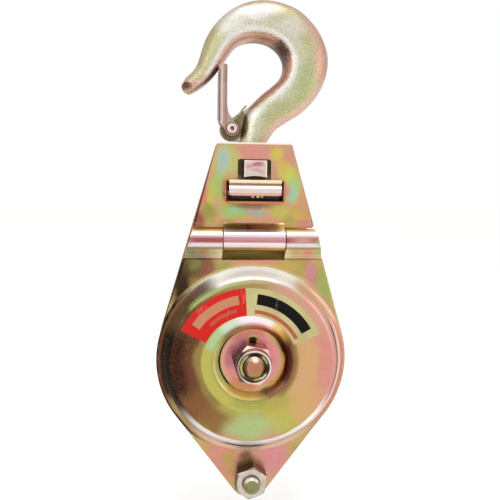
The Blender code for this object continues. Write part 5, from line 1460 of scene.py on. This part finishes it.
def small_finishes():
    """Finishes of the fasteners, springs and plain pieces, by name, with painted light and shade
    by facing.
    """
    made = {}
    for name, size, seed, blotches, more in (
        ("latch_chromate", 6, 13, [(172, 142, 134), (186, 156, 146), (170, 136, 124)], {
            # painted shade where the latch faces down, left and right, and painted light where it
            # faces up
            "turns": [
                (DOWN, 0.55, 0.9, (92, 52, 38), 0.85), (UP, 0.3, 0.7, (216, 196, 176), 0.85),
                (LEFT, 0.4, 0.9, (70, 44, 40), 0.92), (RIGHT, 0.4, 0.9, (150, 108, 98), 0.8),
            ],
            # a painted highlight strip down the latch's front, with a painted shade line on its
            # left and a duller line on its right
            "lines": [
                ((-15.1, -20), (-15.1, -34), 0.8, (226, 202, 196), 0.75),
                ((-16.1, -20), (-16.1, -34), 0.35, (92, 58, 58), 0.85),
                ((-13.2, -20), (-13.2, -34), 0.5, (146, 112, 106), 0.7),
            ],
        }),
        ("fastener_chromate", 5, 17, [
            (140, 110, 76), (182, 150, 104), (200, 168, 130), (168, 124, 90),
        ], {"turns": [
            # painted shade where a fastener faces left, and painted light where it faces up, down
            # and right
            (DOWN, 0.2, 0.8, (178, 164, 96), 0.75), (UP, 0.3, 0.85, (214, 196, 172), 0.75),
            (RIGHT, 0.4, 0.9, (176, 126, 98), 0.8), (LEFT, 0.2, 0.6, (58, 38, 28), 0.95),
        ]}),
        ("axle_nut_chromate", 4, 21, [(206, 168, 156), (220, 190, 180), (196, 150, 132)], {
            "crisp": [
                # dark on the hex's left is painted shade, the pale pieces on its top and bottom
                # are painted highlights, the pale collar ring is a painted highlight with painted
                # shade on its left, and the thin dark rings are painted shade in the gaps
                (9.2, 1.4, 300, 60, (40, 26, 24), 0.96), (9.2, 1.4, 232, 40, (66, 42, 34), 0.92),
                (9.4, 1.2, 92, 60, (204, 142, 142), 0.9),
                (9.4, 1.4, 160, 26, (232, 200, 190), 0.9),
                (8.8, 1.3, 342, 24, (246, 222, 206), 0.95),
                (8.2, 0.35, 0, 180, (110, 86, 66), 0.8), (7.5, 0.5, 0, 180, (228, 210, 204), 0.9),
                (7.5, 0.7, 276, 66, (146, 112, 96), 0.8), (6.8, 0.3, 0, 180, (52, 36, 30), 0.9),
            ],
            "turns": [
                # painted shade where the nut faces left, and a rosy painted light where it faces
                # up
                (UP, 0.7, 0.95, (206, 132, 136), 0.9),
                ((-0.9, 0, 0.45), 0.8, 0.95, (30, 18, 16), 0.95),
                (LEFT, 0.75, 0.95, (36, 22, 18), 0.95),
                ((-0.6, 0, -1), 0.75, 0.95, (60, 36, 28), 0.9),
            ],
        }),
        ("ring_chromate", 4, 22, [(150, 150, 92), (170, 168, 110), (158, 146, 92)], {"crisp": [
            # near-black painted shade in the ring's three notches, and a painted highlight on its
            # lower right
            (6, 2, 4, 40, (30, 21, 17), 0.98), (6, 2, 96, 30, (44, 32, 26), 0.95),
            (6, 2, 205, 34, (60, 44, 34), 0.9), (6.2, 0.4, 140, 24, (210, 206, 176), 0.8),
        ]}),
        ("axle_end_chromate", 4, 18, [(164, 108, 78), (178, 122, 90), (160, 110, 84)], {
            # a painted highlight on the top of the axle's end
            "marks": [(0.4, -145.6, 1.6, 1.2, (236, 214, 200), 0.9)],
            # painted light where the end faces up and down, and painted shade where it faces left
            # and right
            "turns": [
                (DOWN, 0.2, 0.6, (206, 200, 132), 0.9), (UP, 0.2, 0.6, (200, 164, 140), 0.9),
                (LEFT, 0.3, 0.7, (84, 60, 44), 0.9), (RIGHT, 0.3, 0.7, (120, 92, 70), 0.8),
            ],
        }),
        ("plain_zinc", 5, 19, [(176, 164, 146), (204, 192, 180), (190, 176, 160)], {"turns": [
            # painted shade where a zinc piece faces up, up-left and left, and painted light where
            # it faces down and right
            (DOWN, 0.2, 0.8, (120, 108, 72), 0.8), (UP, 0.3, 0.7, (92, 60, 46), 0.92),
            (LEFT, 0.25, 0.6, (50, 34, 26), 0.95), (RIGHT, 0.3, 0.8, (150, 112, 84), 0.8),
            ((-0.5, 0, 1), 0.85, 0.97, (56, 36, 28), 0.9),
        ]}),
        ("tail_end_chromate", 3, 20, [(116, 118, 76), (138, 140, 92), (130, 124, 82)], {"turns": [
            # a painted highlight where the tail bolt's end faces up, and a darker olive where it
            # faces down
            (UP, 0.2, 0.6, (226, 216, 204), 0.9), (DOWN, 0.3, 0.8, (112, 104, 62), 0.8),
        ]}),
        ("spring_steel", 3, 23, [(120, 112, 74), (152, 144, 96), (172, 160, 120)], {"turns": [
            # painted shade where a spring faces left, and a painted highlight where it faces up
            (LEFT, 0.3, 0.8, (64, 46, 34), 0.8), (UP, 0.3, 0.85, (222, 214, 204), 0.7),
        ]}),
        ("sheave_steel", 14, 29, [(128, 112, 70), (166, 146, 92), (186, 160, 116)], {
            "rough": (0.32, 0.5),
        }),
        ("bush_bronze", 5, 31, [(150, 104, 52), (182, 132, 70), (168, 110, 60)], {}),
        ("latch_rivet_chromate", 3, 24, [(206, 180, 172), (220, 196, 186)], {
            "crisp": [
                (0, 1.1, 0, 180, (88, 54, 48), 0.95), (1.7, 0.5, 0, 180, (238, 222, 216), 0.9),
                (2.5, 0.3, 0, 180, (84, 56, 48), 0.9),
            ],
            "centre": (PIVOT_X / MM, PIVOT_Z / MM),
        }),
    ):
        made[name] = chromate(name, blotches, size * MM, seed, **more)
    return made


def make_finishes():
    """Finishes by a solid's material slot, and by node where a piece has one of its own."""
    by_name = small_finishes()
    by_slot = {
        "forged_chromate": hook_finish(), "pressed_chromate": rear_finish(),
        "gate_chromate": gate_finish(),
    }
    for slot in ("latch_chromate", "fastener_chromate", "plain_zinc", "spring_steel",
                 "sheave_steel", "bush_bronze"):
        by_slot[slot] = by_name[slot]
    by_node = {
        "front_cheek": front_cheek_finish(), "head_block": tongue_finish(),
        "gate_latch": bar_finish(), "latch_bracket": bracket_tone_and_shade(),
        "axle_bolt": by_name["axle_end_chromate"], "tail_bolt": by_name["tail_end_chromate"],
        "axle_nut": by_name["axle_nut_chromate"], "axle_nut_ring": by_name["ring_chromate"],
        "hook_latch_rivet": by_name["latch_rivet_chromate"],
    }
    return by_slot, by_node


def paint_over(obj, material):
    if not obj.material_slots:
        obj.data.materials.append(material)
    for slot in obj.material_slots:
        slot.material = material


def set_camera():
    data = bpy.data.cameras.new("camera")
    data.sensor_width = SENSOR
    data.lens = FOCAL_PIXELS / PICTURE * SENSOR
    camera = add_object("camera", data)
    yaw, pitch, roll = (math.radians(a) for a in (CAMERA_YAW, CAMERA_PITCH, CAMERA_ROLL))
    level = math.cos(pitch)
    ahead = Vector((math.sin(yaw) * level, math.cos(yaw) * level, -math.sin(pitch)))
    right = Vector((math.cos(yaw), -math.sin(yaw), 0.0))
    up = right.cross(ahead)
    side = right * math.cos(roll) + up * math.sin(roll)
    top = up * math.cos(roll) - right * math.sin(roll)
    rotation = Matrix((side, top, -ahead)).transposed().to_4x4()
    camera.matrix_world = Matrix.Translation(CAMERA_PLACE) @ rotation
    data.clip_start = 0.01
    data.clip_end = 50.0
    bpy.context.scene.camera = camera


def shows_background(tree):
    """1 for rays that should see the white background: camera, mirror and glass rays."""
    path = tree.nodes.new("ShaderNodeLightPath").outputs
    total = path["Is Camera Ray"]
    for name in ("Is Glossy Ray", "Is Transmission Ray"):
        total = add_node(tree, "Math", {0: total, 1: path[name]}, operation="MAXIMUM").outputs[0]
    return total


def set_world(plain_level):
    """White where it shows, and a plain level where it lights."""
    world = bpy.data.worlds.new("studio")
    bpy.context.scene.world = world
    world.use_nodes = True
    tree = world.node_tree
    inputs = {"Value": shows_background(tree), "To Min": plain_level, "To Max": 1.0}
    level = add_node(tree, "MapRange", inputs).outputs["Result"]
    background = tree.nodes["Background"]
    put(tree, background.inputs["Color"], (1, 1, 1, 1))
    put(tree, background.inputs["Strength"], level)


def add_floor(z, size, lift):
    bm = bmesh.new()
    bmesh.ops.create_grid(bm, x_segments=1, y_segments=1, size=size / 2)
    floor = mesh_object("floor", bm)
    floor.location = (0, 0, z)
    material = bpy.data.materials.new("floor_paper")
    material.use_nodes = True
    tree = material.node_tree
    glow = add_node(tree, "Math", {0: shows_background(tree), 1: lift}, operation="MULTIPLY")
    for name, value in (
        ("Base Color", (0.8, 0.8, 0.79, 1)), ("Roughness", 0.9), ("Specular IOR Level", 0.0),
        ("Emission Color", (1, 1, 1, 1)), ("Emission Strength", glow.outputs[0]),
    ):
        put(tree, tree.nodes["Principled BSDF"].inputs[name], value)
    floor.data.materials.append(material)


def add_softbox(name, place, aim, wide, high, power):
    light = bpy.data.lights.new(name, "AREA")
    light.shape = "RECTANGLE"
    light.size = wide
    light.size_y = high
    light.energy = power
    obj = add_object(name, light)
    obj.location = place
    way = Vector(aim) - Vector(place)
    obj.rotation_euler = way.to_track_quat("-Z", "Y").to_euler()


def dress():
    by_slot, by_node = make_finishes()
    pieces = {
        "hook": build_hook(),
        "front_cheek": build_front_cheek(),
        "rear_cheek": build_rear_cheek(),
        "sheave": build_sheave(),
    }
    pieces["axle_bolt"], pieces["axle_nut"], pieces["axle_nut_ring"] = build_axle()
    pieces["tail_bolt"], pieces["tail_nut"] = build_tail()
    for node, obj in NODES.items():
        slot = obj.material_slots[0].name.split(".")[0]
        finish = by_node.get(node, by_slot[slot])
        paint_over(obj, finish)
        if node in pieces:
            paint_over(pieces[node], finish)
    paint_over(build_label(), label_film())
    for node, width in EDGE_WIDTHS.items():
        soften(node, width * MM)


dress()
set_camera()
set_world(WORLD_LEVEL)
add_floor(FLOOR_Z, FLOOR_SIZE, FLOOR_LIFT)
for softbox in SOFTBOXES:
    add_softbox(*softbox)
bpy.context.scene.view_settings.view_transform = "Standard"
